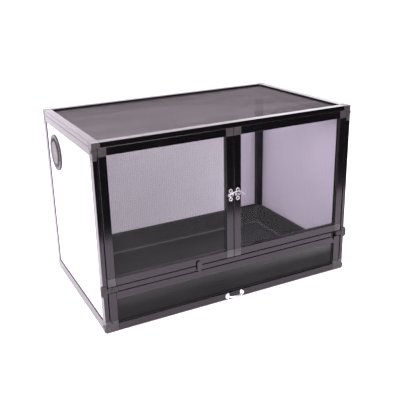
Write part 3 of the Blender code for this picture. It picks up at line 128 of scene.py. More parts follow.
class Nodes:
    """A material's nodes, all added through one method."""

    def __init__(self, name: str) -> None:
        """Starts a material with its Principled shader.

        Args:
            name: the material's name.
        """
        self.material = bpy.data.materials.new(name)
        self.material.use_nodes = True
        self.tree = self.material.node_tree
        self.surface = self.tree.nodes["Principled BSDF"]

    def add(
        self,
        kind: str,
        settings: dict[str, Any] | None = None,
        inputs: dict[int | str, Any] | None = None,
        output: int | str = 0,
    ) -> Value:
        """Adds one node.

        Args:
            kind: the node's type.
            settings: its attributes, set first.
            inputs: values or links by socket name or number.
            output: the socket that is returned.

        Returns:
            The chosen output.
        """
        node = self.tree.nodes.new(kind)
        for key, setting in (settings or {}).items():
            setattr(node, key, setting)
        for key, given in (inputs or {}).items():
            self.feed(node.inputs[key], given)
        return Value(self, node.outputs[output])

    def feed(self, socket: bpy.types.NodeSocket, given: Any) -> None:
        """Links a Value to a socket, or sets the socket.

        Args:
            socket: the input socket.
            given: a Value, or a number, vector or colour.
        """
        if isinstance(given, Value):
            self.tree.links.new(given.socket, socket)
        else:
            socket.default_value = given

    def dress(self, **inputs: Any) -> None:
        """Feeds the Principled shader's sockets, named with spaces as underscores."""
        for key, given in inputs.items():
            self.feed(self.surface.inputs[key.replace("_", " ")], given)

    def shader(self) -> Value:
        """The Principled shader's own output, for use under a Mix Shader."""
        return Value(self, self.surface.outputs[0])

    def place(self, scale: Point = (1.0, 1.0, 1.0)) -> Value:
        """The point in the object's own metres, stretched by a scale."""
        here = self.add("ShaderNodeTexCoord", output="Object")
        return self.add("ShaderNodeMapping", None, {"Vector": here, "Scale": scale})

    def axes(self, names: str) -> list[Value]:
        """The named axes of the point in the object's own metres."""
        return [self.add("ShaderNodeSeparateXYZ", None, {0: self.place()}, name) for name in names]

    def noise(self, scale: Point | float, detail: float = 2.0) -> Value:
        """Smooth noise between 0 and 1 with so many cells a metre, one count or one for each axis."""
        where = self.place(scale if isinstance(scale, tuple) else (scale,) * 3)
        return self.add("ShaderNodeTexNoise", None, {"Vector": where, "Scale": 1.0, "Detail": detail})

    def tint(self, share: Value, first: Value | Colour, second: Colour) -> Value:
        """A colour that goes from the first to the second with the share."""
        sockets = {0: share, 6: first if isinstance(first, Value) else (*first, 1.0), 7: (*second, 1.0)}
        return self.add("ShaderNodeMix", {"data_type": "RGBA"}, sockets, 2)

    def rounded(self, radius: float) -> Value:
        """The normal as if every edge had a small round of this radius."""
        return self.add("ShaderNodeBevel", {"samples": 4}, {"Radius": radius})

    def edges(self, radius: float) -> Value:
        """Near 1 along edges and 0 elsewhere: one minus the dot of the rounded and true normals.

        Args:
            radius: the edges' round.

        Returns:
            The mask.
        """
        sockets = {0: self.rounded(radius), 1: self.add("ShaderNodeNewGeometry", output="Normal")}
        along = self.add("ShaderNodeVectorMath", {"operation": "DOT_PRODUCT"}, sockets, "Value")
        return (1.0 - along).between(*EDGE_RANGE)

    def bumped(self, height: Value, depth: float, radius: float | None = None) -> Value:
        """A normal bumped by a height.

        Args:
            height: the height, from 0 to 1.
            depth: what it stands for in metres.
            radius: the round of the edges below it, if they get one.

        Returns:
            The normal.
        """
        sockets: dict[int | str, Any] = {"Height": height, "Strength": 1.0, "Distance": depth}
        if radius is not None:
            sockets["Normal"] = self.rounded(radius)
        return self.add("ShaderNodeBump", None, sockets)


@dataclass(frozen=True)
class AnodisedProfile:
    """Gloss black anodised bar: draw lines along it, faint dust, and paler worn edges that also paint edge
    highlights.
    """

    grain: Grain
    black: Colour = (0.0020, 0.0017, 0.0021)
    dust: Colour = (0.0085, 0.0070, 0.0088)
    dust_range: Span = (0.45, 0.85)
    dust_share: float = 0.5
    wear_and_highlight: Colour = (0.15, 0.135, 0.15)
    chip_range: Span = (0.42, 0.68)
    wear_and_highlight_share: float = 0.8
    gloss: Colour = (1.0, 0.90, 1.0)
    ior: float = 1.49
    roughness: float = 0.08
    line_count: float = 1400.0
    along_count: float = 7.0
    line_depth: float = 0.000012
    edge_round: float = 0.0007

    def material(self) -> Material:
        """Builds the finish.

        Returns:
            The material.
        """
        nodes = Nodes(f"anodised_{self.grain.name.lower()}")
        counts = [self.line_count] * 3
        counts[self.grain.value] = self.along_count
        lines = nodes.noise(tuple(counts), detail=1.0)
        clouds = nodes.noise(16.0, detail=4.0)
        chips = nodes.noise(240.0, detail=3.0)
        colour = nodes.tint(clouds.between(*self.dust_range) * self.dust_share, self.black, self.dust)
        # Worn edges, paler in chipped patches; the same paler edges also paint highlights along the bars'
        # edges.
        edge_wear_and_highlight = nodes.edges(self.edge_round) * chips.between(*self.chip_range) * self.wear_and_highlight_share
        nodes.dress(
            Base_Color=nodes.tint(edge_wear_and_highlight, colour, self.wear_and_highlight),
            Roughness=self.roughness + 0.07 * clouds + 0.05 * lines,
            IOR=self.ior,
            Specular_Tint=(*self.gloss, 1.0),
            Normal=nodes.bumped(lines, self.line_depth, self.edge_round),
        )
        return nodes.material


@dataclass(frozen=True)
class Moulding:
    """Moulded plastic: spark texture, flow marks, rubbed edges that also paint edge highlights, and a painted
    highlight line at a height if given.
    """

    name: str
    colour: Colour
    shade: Colour
    wear_and_highlight: Colour
    roughness: float
    grain_count: float = 1500.0
    grain_depth: float = 0.00004
    edge_round: float = 0.0008
    flow_count: Point = (45.0, 45.0, 90.0)
    ior: float = 1.5
    painted_highlight_line: Span | None = None
    painted_highlight_share: float = 0.6
    rub_and_highlight_range: Span = (0.35, 0.7)
    rub_and_highlight_share: float = 0.7

    def material(self) -> Material:
        """Builds the finish.

        Returns:
            The material.
        """
        nodes = Nodes(self.name)
        spark = nodes.noise(self.grain_count)
        flow = nodes.noise(self.flow_count, detail=4.0)
        # Rubbed edges, paler in patches; the same paler edges also paint edge highlights.
        rub_and_highlight = nodes.edges(self.edge_round) * nodes.noise(300.0).between(*self.rub_and_highlight_range) * self.rub_and_highlight_share
        colour = nodes.tint(rub_and_highlight, nodes.tint(flow.between(*FLOW_RANGE), self.colour, self.shade), self.wear_and_highlight)
        # A paler line at a height is a painted highlight, such as the one along the tray's fold.
        if self.painted_highlight_line is not None:
            low, high = self.painted_highlight_line
            middle = (low + high) / 2
            (height,) = nodes.axes("Z")
            line = height.between(low, middle) * (1.0 - height.between(middle, high)) * self.painted_highlight_share
            colour = nodes.tint(line, colour, self.wear_and_highlight)
        nodes.dress(
            Base_Color=colour,
            Roughness=self.roughness + 0.12 * flow - 0.10 * rub_and_highlight,
            IOR=self.ior,
            Normal=nodes.bumped(spark, self.grain_depth, self.edge_round),
        )
        return nodes.material


@dataclass(frozen=True)
class GlossSheet:
    """Smooth black sheet: a gloss that thins downwards and to the left, under faint dust and wipe lines."""

    black: Colour = (0.0045, 0.0040, 0.0048)
    dust: Colour = (0.010, 0.009, 0.0105)
    dust_range: Span = (0.35, 0.75)
    roughness: float = 0.24
    ior: float = 1.16
    gloss_ior: float = 1.54
    gloss_roughness: float = 0.09
    gloss_heights: Span = (0.042, 0.071)
    gloss_shares: Span = (0.10, 0.85)
    gloss_left: float = 0.40
    gloss_turn: Span = (-0.10, 0.26)
    speck_depth: float = 0.000006

    def material(self) -> Material:
        """Builds the finish: gloss = least + (most - least) times the rise times the way to the right.

        Returns:
            The material.
        """
        nodes = Nodes("black_gloss_sheet")
        clouds = nodes.noise((7.0, 7.0, 14.0), detail=4.0)
        wipes = nodes.noise((26.0, 26.0, 420.0))
        speck = nodes.noise(1300.0, detail=1.0)
        across, height = nodes.axes("XZ")
        sideways = self.gloss_left + (1.0 - self.gloss_left) * across.between(*self.gloss_turn)
        least, most = self.gloss_shares
        gloss = least + (most - least) * height.between(*self.gloss_heights) * sideways
        nodes.dress(
            Base_Color=nodes.tint(clouds.between(*self.dust_range), self.black, self.dust),
            Roughness=self.roughness + 0.10 * wipes,
            IOR=self.ior,
            Coat_Weight=gloss * (1.0 - 0.2 * wipes),
            Coat_IOR=self.gloss_ior,
            Coat_Roughness=self.gloss_roughness,
            Normal=nodes.bumped(speck, self.speck_depth),
        )
        return nodes.material


@dataclass(frozen=True)
class VentMoulding:
    """Grey moulding of the round vent: flow marks, painted shade in its slots, most above the middle, and a
    painted shadow line near the flange's outer edge.
    """

    middle: Point
    colour: Colour = (0.068, 0.058, 0.065)
    shade: Colour = (0.046, 0.039, 0.044)
    painted_shade: Colour = (0.005, 0.004, 0.005)
    roughness: float = 0.34
    slot_radii: Span = (0.0264, 0.0330)
    soft: float = 0.0008
    painted_shade_rise: Span = (-0.022, 0.010)
    painted_shade_least: float = 0.30
    shadow_line_radius: float = 0.0398
    shadow_line_share: float = 0.85
    spark_depth: float = 0.00004
    edge_round: float = 0.0008

    def material(self) -> Material:
        """Builds the finish. The painted shade lies where the distance from the axis is within the slots.

        Returns:
            The material.
        """
        nodes = Nodes("vent_moulding")
        flow = nodes.noise((40.0, 40.0, 80.0), detail=4.0)
        spark = nodes.noise(1500.0)
        along, height = nodes.axes("YZ")
        rise = height - self.middle[2]
        radius = ((along - self.middle[1]) ** 2.0 + rise**2.0) ** 0.5
        inner, outer = self.slot_radii
        # Painted shade in the slot ring between cap and flange, strongest above the middle.
        shaded_slots = radius.between(inner - self.soft, inner) * (1.0 - radius.between(outer, outer + self.soft))
        upper_shade = self.painted_shade_least + (1.0 - self.painted_shade_least) * rise.between(*self.painted_shade_rise)
        # A painted shadow line just inside the flange's outer edge.
        line = radius.between(self.shadow_line_radius - self.soft / 2, self.shadow_line_radius) * self.shadow_line_share
        flowed = nodes.tint(flow.between(*FLOW_RANGE), self.colour, self.shade)
        nodes.dress(
            Base_Color=nodes.tint(line, nodes.tint(shaded_slots * upper_shade, flowed, self.painted_shade), self.painted_shade),
            Roughness=self.roughness + 0.12 * flow + 0.35 * shaded_slots,
            Normal=nodes.bumped(spark, self.spark_depth, self.edge_round),
        )
        return nodes.material


@dataclass(frozen=True)
class WallSheet:
    """White twin-wall PVC sheet: faint upright flutes, slight clouds, and painted shade near the floor."""

    white: Colour = (0.93, 0.862, 0.965)
    cloud: Colour = (0.745, 0.678, 0.79)
    cloud_range: Span = (0.25, 0.75)
    cloud_share: float = 0.3
    flute_pitch: float = 0.0052
    flute_share: float = 0.7
    painted_shade: Colour = (0.62, 0.58, 0.63)
    painted_shade_top: float = 0.05
    painted_shade_range: Span = (0.4, 0.8)
    painted_shade_share: float = 0.35
    roughness: float = 0.34
    bump_depth: float = 0.00003

    def material(self) -> Material:
        """Builds the finish. The flutes are the sine of two pi times x + y over their pitch.

        Returns:
            The material.
        """
        nodes = Nodes("white_pvc_sheet")
        clouds = nodes.noise(9.0, detail=5.0)
        lines = nodes.noise((420.0, 420.0, 3.0))
        speck = nodes.noise(700.0)
        across, along, height = nodes.axes("XYZ")
        turns = (across + along) * (2 * math.pi / self.flute_pitch)
        flutes = turns.maths("SINE", turns)
        # Painted shade near the floor: darker towards the bottom, in cloudy patches.
        foot = 1.0 - height.between(0.0, self.painted_shade_top)
        low = foot * clouds.between(*self.painted_shade_range) * self.painted_shade_share
        cloudy = self.cloud_share * clouds.between(*self.cloud_range)
        colour = nodes.tint(cloudy + self.flute_share * flutes.between(-1.0, 1.0), self.white, self.cloud)
        nodes.dress(
            Base_Color=nodes.tint(low, colour, self.painted_shade),
            Roughness=self.roughness + 0.10 * clouds + 0.05 * speck,
            Normal=nodes.bumped(lines + speck * 0.5 + flutes * 0.6, self.bump_depth),
        )
        return nodes.material


@dataclass(frozen=True)
class ClearSheet:
    """Clear pane: a mirror that grows towards grazing views, light tint, and a thin film of smudges."""

    clear: Colour = (0.845, 0.83, 0.86)
    film: Colour = (0.70, 0.66, 0.72)
    film_roughness: float = 0.5
    film_range: Span = (0.35, 0.8)
    film_share: float = 0.004
    mirror: float = 0.006
    mirror_roughness: float = 0.02

    def material(self) -> Material:
        """Builds the finish: transparent, then smudges, then the mirror over both.

        The mirror's share is m + (1 - m) times the fifth power of one minus the cosine of the view.

        Returns:
            The material.
        """
        nodes = Nodes("clear_pane")
        smudge = nodes.noise(14.0, detail=5.0).between(*self.film_range) * self.film_share
        wipes = nodes.noise((60.0, 60.0, 500.0))
        nodes.dress(Base_Color=(*self.film, 1.0), Roughness=self.film_roughness + 0.2 * wipes)
        through = nodes.add("ShaderNodeBsdfTransparent", None, {"Color": (*self.clear, 1.0)})
        sheet = nodes.add("ShaderNodeMixShader", None, {0: smudge, 1: through, 2: nodes.shader()})
        polish = {"Color": (1.0, 1.0, 1.0, 1.0), "Roughness": self.mirror_roughness}
        mirror = nodes.add("ShaderNodeBsdfGlossy", None, polish)
        slant = nodes.add("ShaderNodeLayerWeight", None, {"Blend": 0.5}, "Facing")
        share = self.mirror + (1.0 - self.mirror) * slant**5.0
        pane = nodes.add("ShaderNodeMixShader", None, {0: share, 1: sheet, 2: mirror})
        nodes.feed(nodes.tree.nodes["Material Output"].inputs["Surface"], pane)
        return nodes.material


@dataclass(frozen=True)
class CastMetal:
    """Bright plated casting: soft ripple, dull hollows and small scratches."""

    name: str = "plated_casting"
    bright: Colour = (0.95, 0.91, 0.96)
    dull: Colour = (0.58, 0.55, 0.58)
    roughness: float = 0.17
    dull_range: Span = (0.5, 0.8)
    ripple_depth: float = 0.00018
    edge_round: float = 0.0004

    def material(self) -> Material:
        """Builds the finish.

        Returns:
            The material.
        """
        nodes = Nodes(self.name)
        ripple = nodes.noise(650.0, detail=3.0)
        scratch = nodes.noise((300.0, 2500.0, 2500.0))
        nodes.dress(
            Base_Color=nodes.tint(ripple.between(*self.dull_range), self.bright, self.dull),
            Roughness=self.roughness + 0.18 * ripple + 0.06 * scratch,
            Metallic=1.0,
            Normal=nodes.bumped(ripple, self.ripple_depth, self.edge_round),
        )
        return nodes.material


@dataclass(frozen=True)
class CoatedWire:
    """Black coated mesh wire, dusty on patches."""

    name: str = "coated_wire"
    black: Colour = (0.047, 0.036, 0.043)
    dust: Colour = (0.086, 0.068, 0.080)
    dust_range: Span = (0.35, 0.7)
    roughness: float = 0.38
    grain_depth: float = 0.00002

    def material(self) -> Material:
        """Builds the finish.

        Returns:
            The material.
        """
        nodes = Nodes(self.name)
        patches = nodes.noise((4.0, 17.0, 9.0), detail=5.0)
        grain = nodes.noise(2500.0, detail=1.0)
        nodes.dress(
            Base_Color=nodes.tint(patches.between(*self.dust_range), self.black, self.dust),
            Roughness=self.roughness + 0.2 * patches,
            Normal=nodes.bumped(grain, self.grain_depth),
        )
        return nodes.material


CORNER = Moulding("corner_moulding", (0.056, 0.047, 0.052), (0.036, 0.030, 0.033), (0.19, 0.175, 0.185), 0.32)
LUG = Moulding(
    "drawer_corner_moulding", (0.030, 0.025, 0.028), (0.019, 0.016, 0.018), (0.15, 0.14, 0.15), 0.34
)
BRACKET = Moulding("bracket_moulding", (0.013, 0.011, 0.012), (0.008, 0.007, 0.008), (0.16, 0.15, 0.16), 0.36)
BUTTON = Moulding("button_moulding", (0.010, 0.009, 0.011), (0.016, 0.014, 0.016), (0.07, 0.065, 0.07), 0.35)
# The tray's paler wear colour also paints the highlights along its lip and its inner fold.
TRAY = Moulding(
    "tray_sheet", (0.0055, 0.0048, 0.0058), (0.0090, 0.0080, 0.0095), (0.10, 0.09, 0.10), 0.36,
    grain_count=1100.0, grain_depth=0.000012, edge_round=0.0012, flow_count=(14.0, 14.0, 14.0), ior=1.30,
)
RUBBER = Moulding("seal_rubber", (0.006, 0.005, 0.006), (0.010, 0.009, 0.010), (0.03, 0.03, 0.03), 0.60)
SCREW = CastMetal("blackened_screw", (0.10, 0.092, 0.10), (0.03, 0.028, 0.03), 0.26)
PATINA = CastMetal("dark_casting", (0.09, 0.08, 0.09), (0.025, 0.024, 0.025), 0.34)
DOOR_WIRE = CoatedWire("door_wire", (0.030, 0.025, 0.029), (0.052, 0.044, 0.051))


def make_object(name: str, shape: Shape, material: Material, smooth: bool = True) -> Piece:
    """Makes an object at the origin.

    Args:
        name: its name.
        shape: its points, and the corner numbers of each face, counter-clockwise from outside.
        material: its finish.
        smooth: whether its round sides are shaded smooth.

    Returns:
        The object.
    """
    mesh = bpy.data.meshes.new(name)
    mesh.from_pydata(shape[0].reshape(-1, 3).tolist(), [], shape[1])
    mesh.materials.append(material)
    if smooth:
        mesh.shade_smooth()
        mesh.set_sharp_from_angle(angle=SMOOTH_ANGLE)
    made = bpy.data.objects.new(name, mesh)
    bpy.context.scene.collection.objects.link(made)
    return made


def make_piece(
    name: str, shape: Shape, material: Material, body: str, smooth: bool = True
) -> Piece:
    """Makes a piece of the enclosure and lets it ride on a body.

    Args:
        name: the piece's name.
        shape: its points and faces.
        material: its finish.
        body: the body that carries it.
        smooth: whether its round sides are shaded smooth.

    Returns:
        The piece.
    """
    piece = make_object(name, shape, material, smooth)
    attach(piece, body)
    return piece


def finish_nodes(material: Material, *names: str) -> None:
    """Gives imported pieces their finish.

    Args:
        material: the finish.
        names: the pieces' names.
    """
    for name in names:
        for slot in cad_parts[name].material_slots:
            slot.material = material


def corners(name: str) -> tuple[np.ndarray, np.ndarray]:
    """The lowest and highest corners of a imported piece's box."""
    low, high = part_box(name)
    return np.array(low), np.array(high)


def others(axis: int) -> list[int]:
    """The two other axes."""
    return [other for other in range(3) if other != axis]


def circle(steps: int) -> np.ndarray:
    """The cosine and the sine of so many even turns, one row for each turn."""
    turns = np.arange(steps) * 2 * math.pi / steps
    return np.column_stack([np.cos(turns), np.sin(turns)])


def tube_faces(rows: int, columns: int, capped: bool = True) -> list[list[int]]:
    """Faces of a grid of rings that closes round its columns.

    Args:
        rows: how many rings there are.
        columns: how many corners a ring has.
        capped: whether the first and last rings are closed.

    Returns:
        The faces' corner numbers. Rings that turn counter-clockwise as seen from the last one face out.
    """
    row, column = np.meshgrid(np.arange(rows - 1), np.arange(columns), indexing="ij")
    here, ahead = row * columns + column, row * columns + (column + 1) % columns
    faces = np.stack([here, ahead, ahead + columns, here + columns], axis=-1).reshape(-1, 4).tolist()
    if capped:
        faces.append(list(range(columns))[::-1])
        faces.append([(rows - 1) * columns + i for i in range(columns)])
    return faces


def wires(
    along: int, across: int, places: np.ndarray, ends: tuple[Any, Any], level: float, radius: float
) -> Shape:
    """One layer of straight round wires side by side.

    Each wire has a ring at both ends: its end plus the radius times the cosine and the sine of even
    turns along the two axes across it.

    Args:
        along: the axis that the wires run along.
        across: the axis that they lie side by side along.
        places: where each lies along that axis.
        ends: where they start and end, one number for all or one for each wire.
        level: where the layer lies along the third axis.
        radius: the wires' radius.

    Returns:
        The points and the faces of all wires.
    """
    around = np.zeros((WIRE_SIDES, 3))
    around[:, [(along + 1) % 3, (along + 2) % 3]] = circle(WIRE_SIDES) * radius
    middles = np.empty((len(places), 2, 3))
    middles[:, :, across] = places[:, None]
    middles[:, :, 3 - along - across] = level
    middles[:, 0, along], middles[:, 1, along] = ends
    one, corner_count = tube_faces(2, WIRE_SIDES), 2 * WIRE_SIDES
    bases = range(0, len(places) * corner_count, corner_count)
    faces = [[corner + base for corner in face] for base in bases for face in one]
    return (middles[:, :, None] + around).reshape(-1, 3), faces


def closed_tube(path: np.ndarray, across: np.ndarray, lift: np.ndarray) -> Shape:
    """A tube round a closed path.

    Ring point = path point + cosine of the turn times the across vector + sine times the lift vector.
    The faces are turned over if the volume that they enclose comes out negative.

    Args:
        path: the path's points in order, without its start repeated.
        across: the outward vector at each point, as long as the tube's half width.
        lift: the vector along the tube's other half width, the same everywhere.

    Returns:
        The points and the faces.
    """
    sides, count = TUBE_SIDES, len(path)
    cosine, sine = circle(sides).T[:, :, None]
    points = (path[:, None] + across[:, None] * cosine + lift * sine).reshape(-1, 3)
    row, column = np.meshgrid(np.arange(count), np.arange(sides), indexing="ij")
    next_row, ahead = (row + 1) % count * sides, (column + 1) % sides
    row = row * sides
    quads = np.stack([row + column, next_row + column, next_row + ahead, row + ahead], axis=-1).reshape(-1, 4)
    a, b, c, d = (points[quads[:, i]] for i in range(4))
    volume = (np.cross(b, c) * a).sum() + (np.cross(c, d) * a).sum()
    return points, (quads if volume > 0 else quads[:, ::-1]).tolist()


def merged(parts: Sequence[Shape]) -> Shape:
    """Joins several meshes into one.

    Args:
        parts: the meshes' points and faces.

    Returns:
        All points and all faces.
    """
    faces, base = [], 0
    for points, part_faces in parts:
        faces.extend([[corner + base for corner in face] for face in part_faces])
        base += len(points)
    return np.concatenate([points for points, _ in parts]), faces


def round_corners(
    half: np.ndarray, radius: float, steps: int = CORNER_STEPS
) -> tuple[np.ndarray, np.ndarray]:
    """A rectangle with round corners about its middle.

    Each corner's points are its circle's middle plus the radius times the outward direction.

    Args:
        half: half of the width and half of the height.
        radius: the corners' radius.
        steps: spans in each quarter round.

    Returns:
        The points, and the outward direction at each.
    """
    angles = (np.arange(4)[:, None] + np.linspace(0.0, 1.0, steps + 1)) * math.pi / 2
    signs = np.array([(1, 1), (-1, 1), (-1, -1), (1, -1)])
    outwards = np.stack([np.cos(angles), np.sin(angles)], axis=-1)
    points = (signs * (half - radius))[:, None] + outwards * radius
    return points.reshape(-1, 2), outwards.reshape(-1, 2)


def seal(
    sheet: str,
    axis: int,
    side: int,
    bite: float,
    wide: float,
    tall: float,
    shift: float = 0.0,
    lift: float = 0.0,
) -> Shape:
    """A soft bead round a packed sheet, on one of its faces.

    Args:
        sheet: the sheet's name.
        axis: the axis across the sheet.
        side: 0 for its low face and 1 for its high one.
        bite: how far the bead lies within the sheet's edges.
        wide: the bead's half width in the sheet's plane.
        tall: its half width across that plane.
        shift: how far its middle is moved along the axis.
        lift: how far its upper run is raised.

    Returns:
        The points and the faces.
    """
    low, high = corners(sheet)
    place = (low, high)[side][axis] + shift
    low, high = low + bite, high - bite
    high[2] += lift
    axes = others(axis)
    flat, outwards = round_corners((high - low)[axes] / 2, BEAD_CORNER)
    path, across, rise = np.full((len(flat), 3), place), np.zeros((len(flat), 3)), np.zeros(3)
    path[:, axes] = flat + (low + high)[axes] / 2
    across[:, axes] = outwards * wide
    rise[axis] = tall
    return closed_tube(path, across, rise)


def ring(centre: Point, radius: float, wide: float, tall: float, axis: int, steps: int = 24) -> Shape:
    """A flattened ring about an axis: a tube along middle + radius times the turning direction.

    Args:
        centre: the ring's middle.
        radius: its radius, to the tube's middle.
        wide: the tube's half width in the ring's plane.
        tall: its half width along the axis.
        axis: the axis.
        steps: spans round the ring.

    Returns:
        The points and the faces.
    """
    outwards, rise = np.zeros((steps, 3)), np.zeros(3)
    outwards[:, others(axis)] = circle(steps)
    rise[axis] = tall
    return closed_tube(np.array(centre) + outwards * radius, outwards * wide, rise)


def cross_head(centre: Point, radius: float, crown: float, recess: float) -> Shape:
    """A domed screw head that faces the front, with a cross recess.

    Height over the seat = crown times (1 - r squared) - recess times the cross's mask, where r is the
    share of the radius and the mask falls from 1 to 0 across each bar's edge and towards its ends.

    Args:
        centre: the middle of the seat.
        radius: the head's radius.
        crown: the dome's height.
        recess: the cross's depth.

    Returns:
        The points and the faces.
    """
    rows, columns = HEAD_ROWS, HEAD_COLUMNS
    shares = np.linspace(1.0, 1.0 / rows, rows)[:, None]
    u, v = shares * circle(columns).T[:, None]
    bars = np.clip((CROSS_BAR - np.minimum(np.abs(u), np.abs(v))) / CROSS_EDGE, 0, 1)
    mask = bars * np.clip((CROSS_REACH - shares) / CROSS_END, 0, 1)
    height = crown * (1 - shares**2) - recess * mask
    dome = np.stack([u * radius, -height, v * radius], axis=-1).reshape(-1, 3)
    base, tip = dome[:columns] + np.array([0.0, crown, 0.0]), np.array([[0.0, recess - crown, 0.0]])
    last = rows * columns
    faces = tube_faces(rows + 1, columns, capped=False)
    faces += [[last + i, last + (i + 1) % columns, last + columns] for i in range(columns)]
    faces.append(list(range(columns))[::-1])
    return np.concatenate([base, dome, tip]) + np.array(centre), faces


def filleted(line: Sequence[Point], steps: int = 4) -> np.ndarray:
    """A line through corners, each rounded by a curve that starts and ends its radius away.

    The curve at a corner is the quadratic one from the point before it, pulled towards the corner, to
    the point after it.

    Args:
        line: two places and a radius for each corner. The first and last stay sharp.
        steps: spans in each curve.

    Returns:
        The line's points.
    """
    points = [np.array(line[0][:2])]
    shares = np.linspace(0.0, 1.0, steps + 1)[:, None]
    for before, here, after in zip(line, line[1:], line[2:]):
        corner = np.array(here[:2])
        runs = [np.array(other[:2]) - corner for other in (before, after)]
        first, last = (corner + run / np.linalg.norm(run) * here[2] for run in runs)
        points.extend((1 - shares) ** 2 * first + 2 * shares * (1 - shares) * corner + shares**2 * last)
    return np.array([*points, np.array(line[-1][:2])])


def stacked(levels: Sequence[Point], low: np.ndarray, high: np.ndarray, steps: int) -> Shape:
    """Round-cornered rectangles, one over another, joined by faces and closed at both ends.

    Args:
        levels: each rectangle's inset from the box, its height and its corners' radius.
        low: the box's low corner.
        high: its high corner.
        steps: spans in each quarter round.

    Returns:
        The points and the faces, which face out where the levels rise.
    """
    half, middle = (high - low)[:2] / 2, (high + low)[:2] / 2
    rings = []
    for inset, height, radius in levels:
        flat, _ = round_corners(half - inset, radius, steps)
        rings.append(np.column_stack([flat + middle, np.full(len(flat), height)]))
    return np.concatenate(rings), tube_faces(len(rings), len(rings[0]))


def carried(section: np.ndarray, axis: int, low: float, high: float) -> Shape:
    """A closed section carried along an axis.

    Twice the section's area = the sum of u times the next v minus v times the next u. Its sign tells
    which way round the section runs.

    Args:
        section: its points, in the other two axes.
        axis: the axis that it is carried along.
        low: where it starts.
        high: where it ends.

    Returns:
        The points and the faces.
    """
    points = np.empty((2, len(section), 3))
    points[:, :, others(axis)] = section
    points[:, :, axis] = np.array([low, high])[:, None]
    ahead = np.roll(section, -1, axis=0)
    area = (section[:, 0] * ahead[:, 1] - section[:, 1] * ahead[:, 0]).sum()
    faces = tube_faces(2, len(section))
    outwards = area > 0 if axis != 1 else area < 0
    return points.reshape(-1, 3), faces if outwards else [face[::-1] for face in faces]


@dataclass(frozen=True)
class FrontScrew:
    """A small cross-headed screw that faces the front, near the outer edge of a corner."""

    radius: float = 0.0029
    crown: float = 0.0011
    recess: float = 0.00088
    seat: float = 0.0004

    def place(self, corner: str, inset: float, rise: float) -> Point:
        """Where the head's seat is.

        Args:
            corner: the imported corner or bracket, whose name says its side.
            inset: how far the screw is from its outer edge.
            rise: how far it is above its underside.

        Returns:
            The middle of the seat.
        """
        low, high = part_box(corner)
        across = high[0] - inset if "right" in corner else low[0] + inset
        return across, low[1] + self.seat, low[2] + rise

    def head(self, place: Point) -> Shape:
        """The screw's head at a place."""
        return cross_head(place, self.radius, self.crown, self.recess)


@dataclass
class WireMesh:
    """A flat mesh of fine crossing wires, in two layers that touch, in place of a plain net."""

    name: str
    stands_for: str
    body: str
    thin_axis: int
    pitch: float = 0.0014
    radius: float = 0.00016
    edge: float = 0.0006

    def build(self, material: Material) -> list[Piece]:
        """Lays one set of wires across each way of the net's box.

        Args:
            material: the wires' finish.

        Returns:
            The mesh piece.
        """
        low, high = corners(self.stands_for)
        middle = (low[self.thin_axis] + high[self.thin_axis]) / 2
        axes, layers = others(self.thin_axis), []
        for along, across, layer in (*axes, -1), (*axes[::-1], 1):
            count = int((high[across] - low[across] - 2 * self.edge) / self.pitch) + 1
            places = np.linspace(low[across] + self.edge, high[across] - self.edge, count)
            ends = low[along] + self.edge / 2, high[along] - self.edge / 2
            layers.append(wires(along, across, places, ends, middle + layer * self.radius, self.radius))
        piece = make_piece(self.name, merged(layers), material, self.body)
        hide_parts(self.stands_for)
        return [piece]


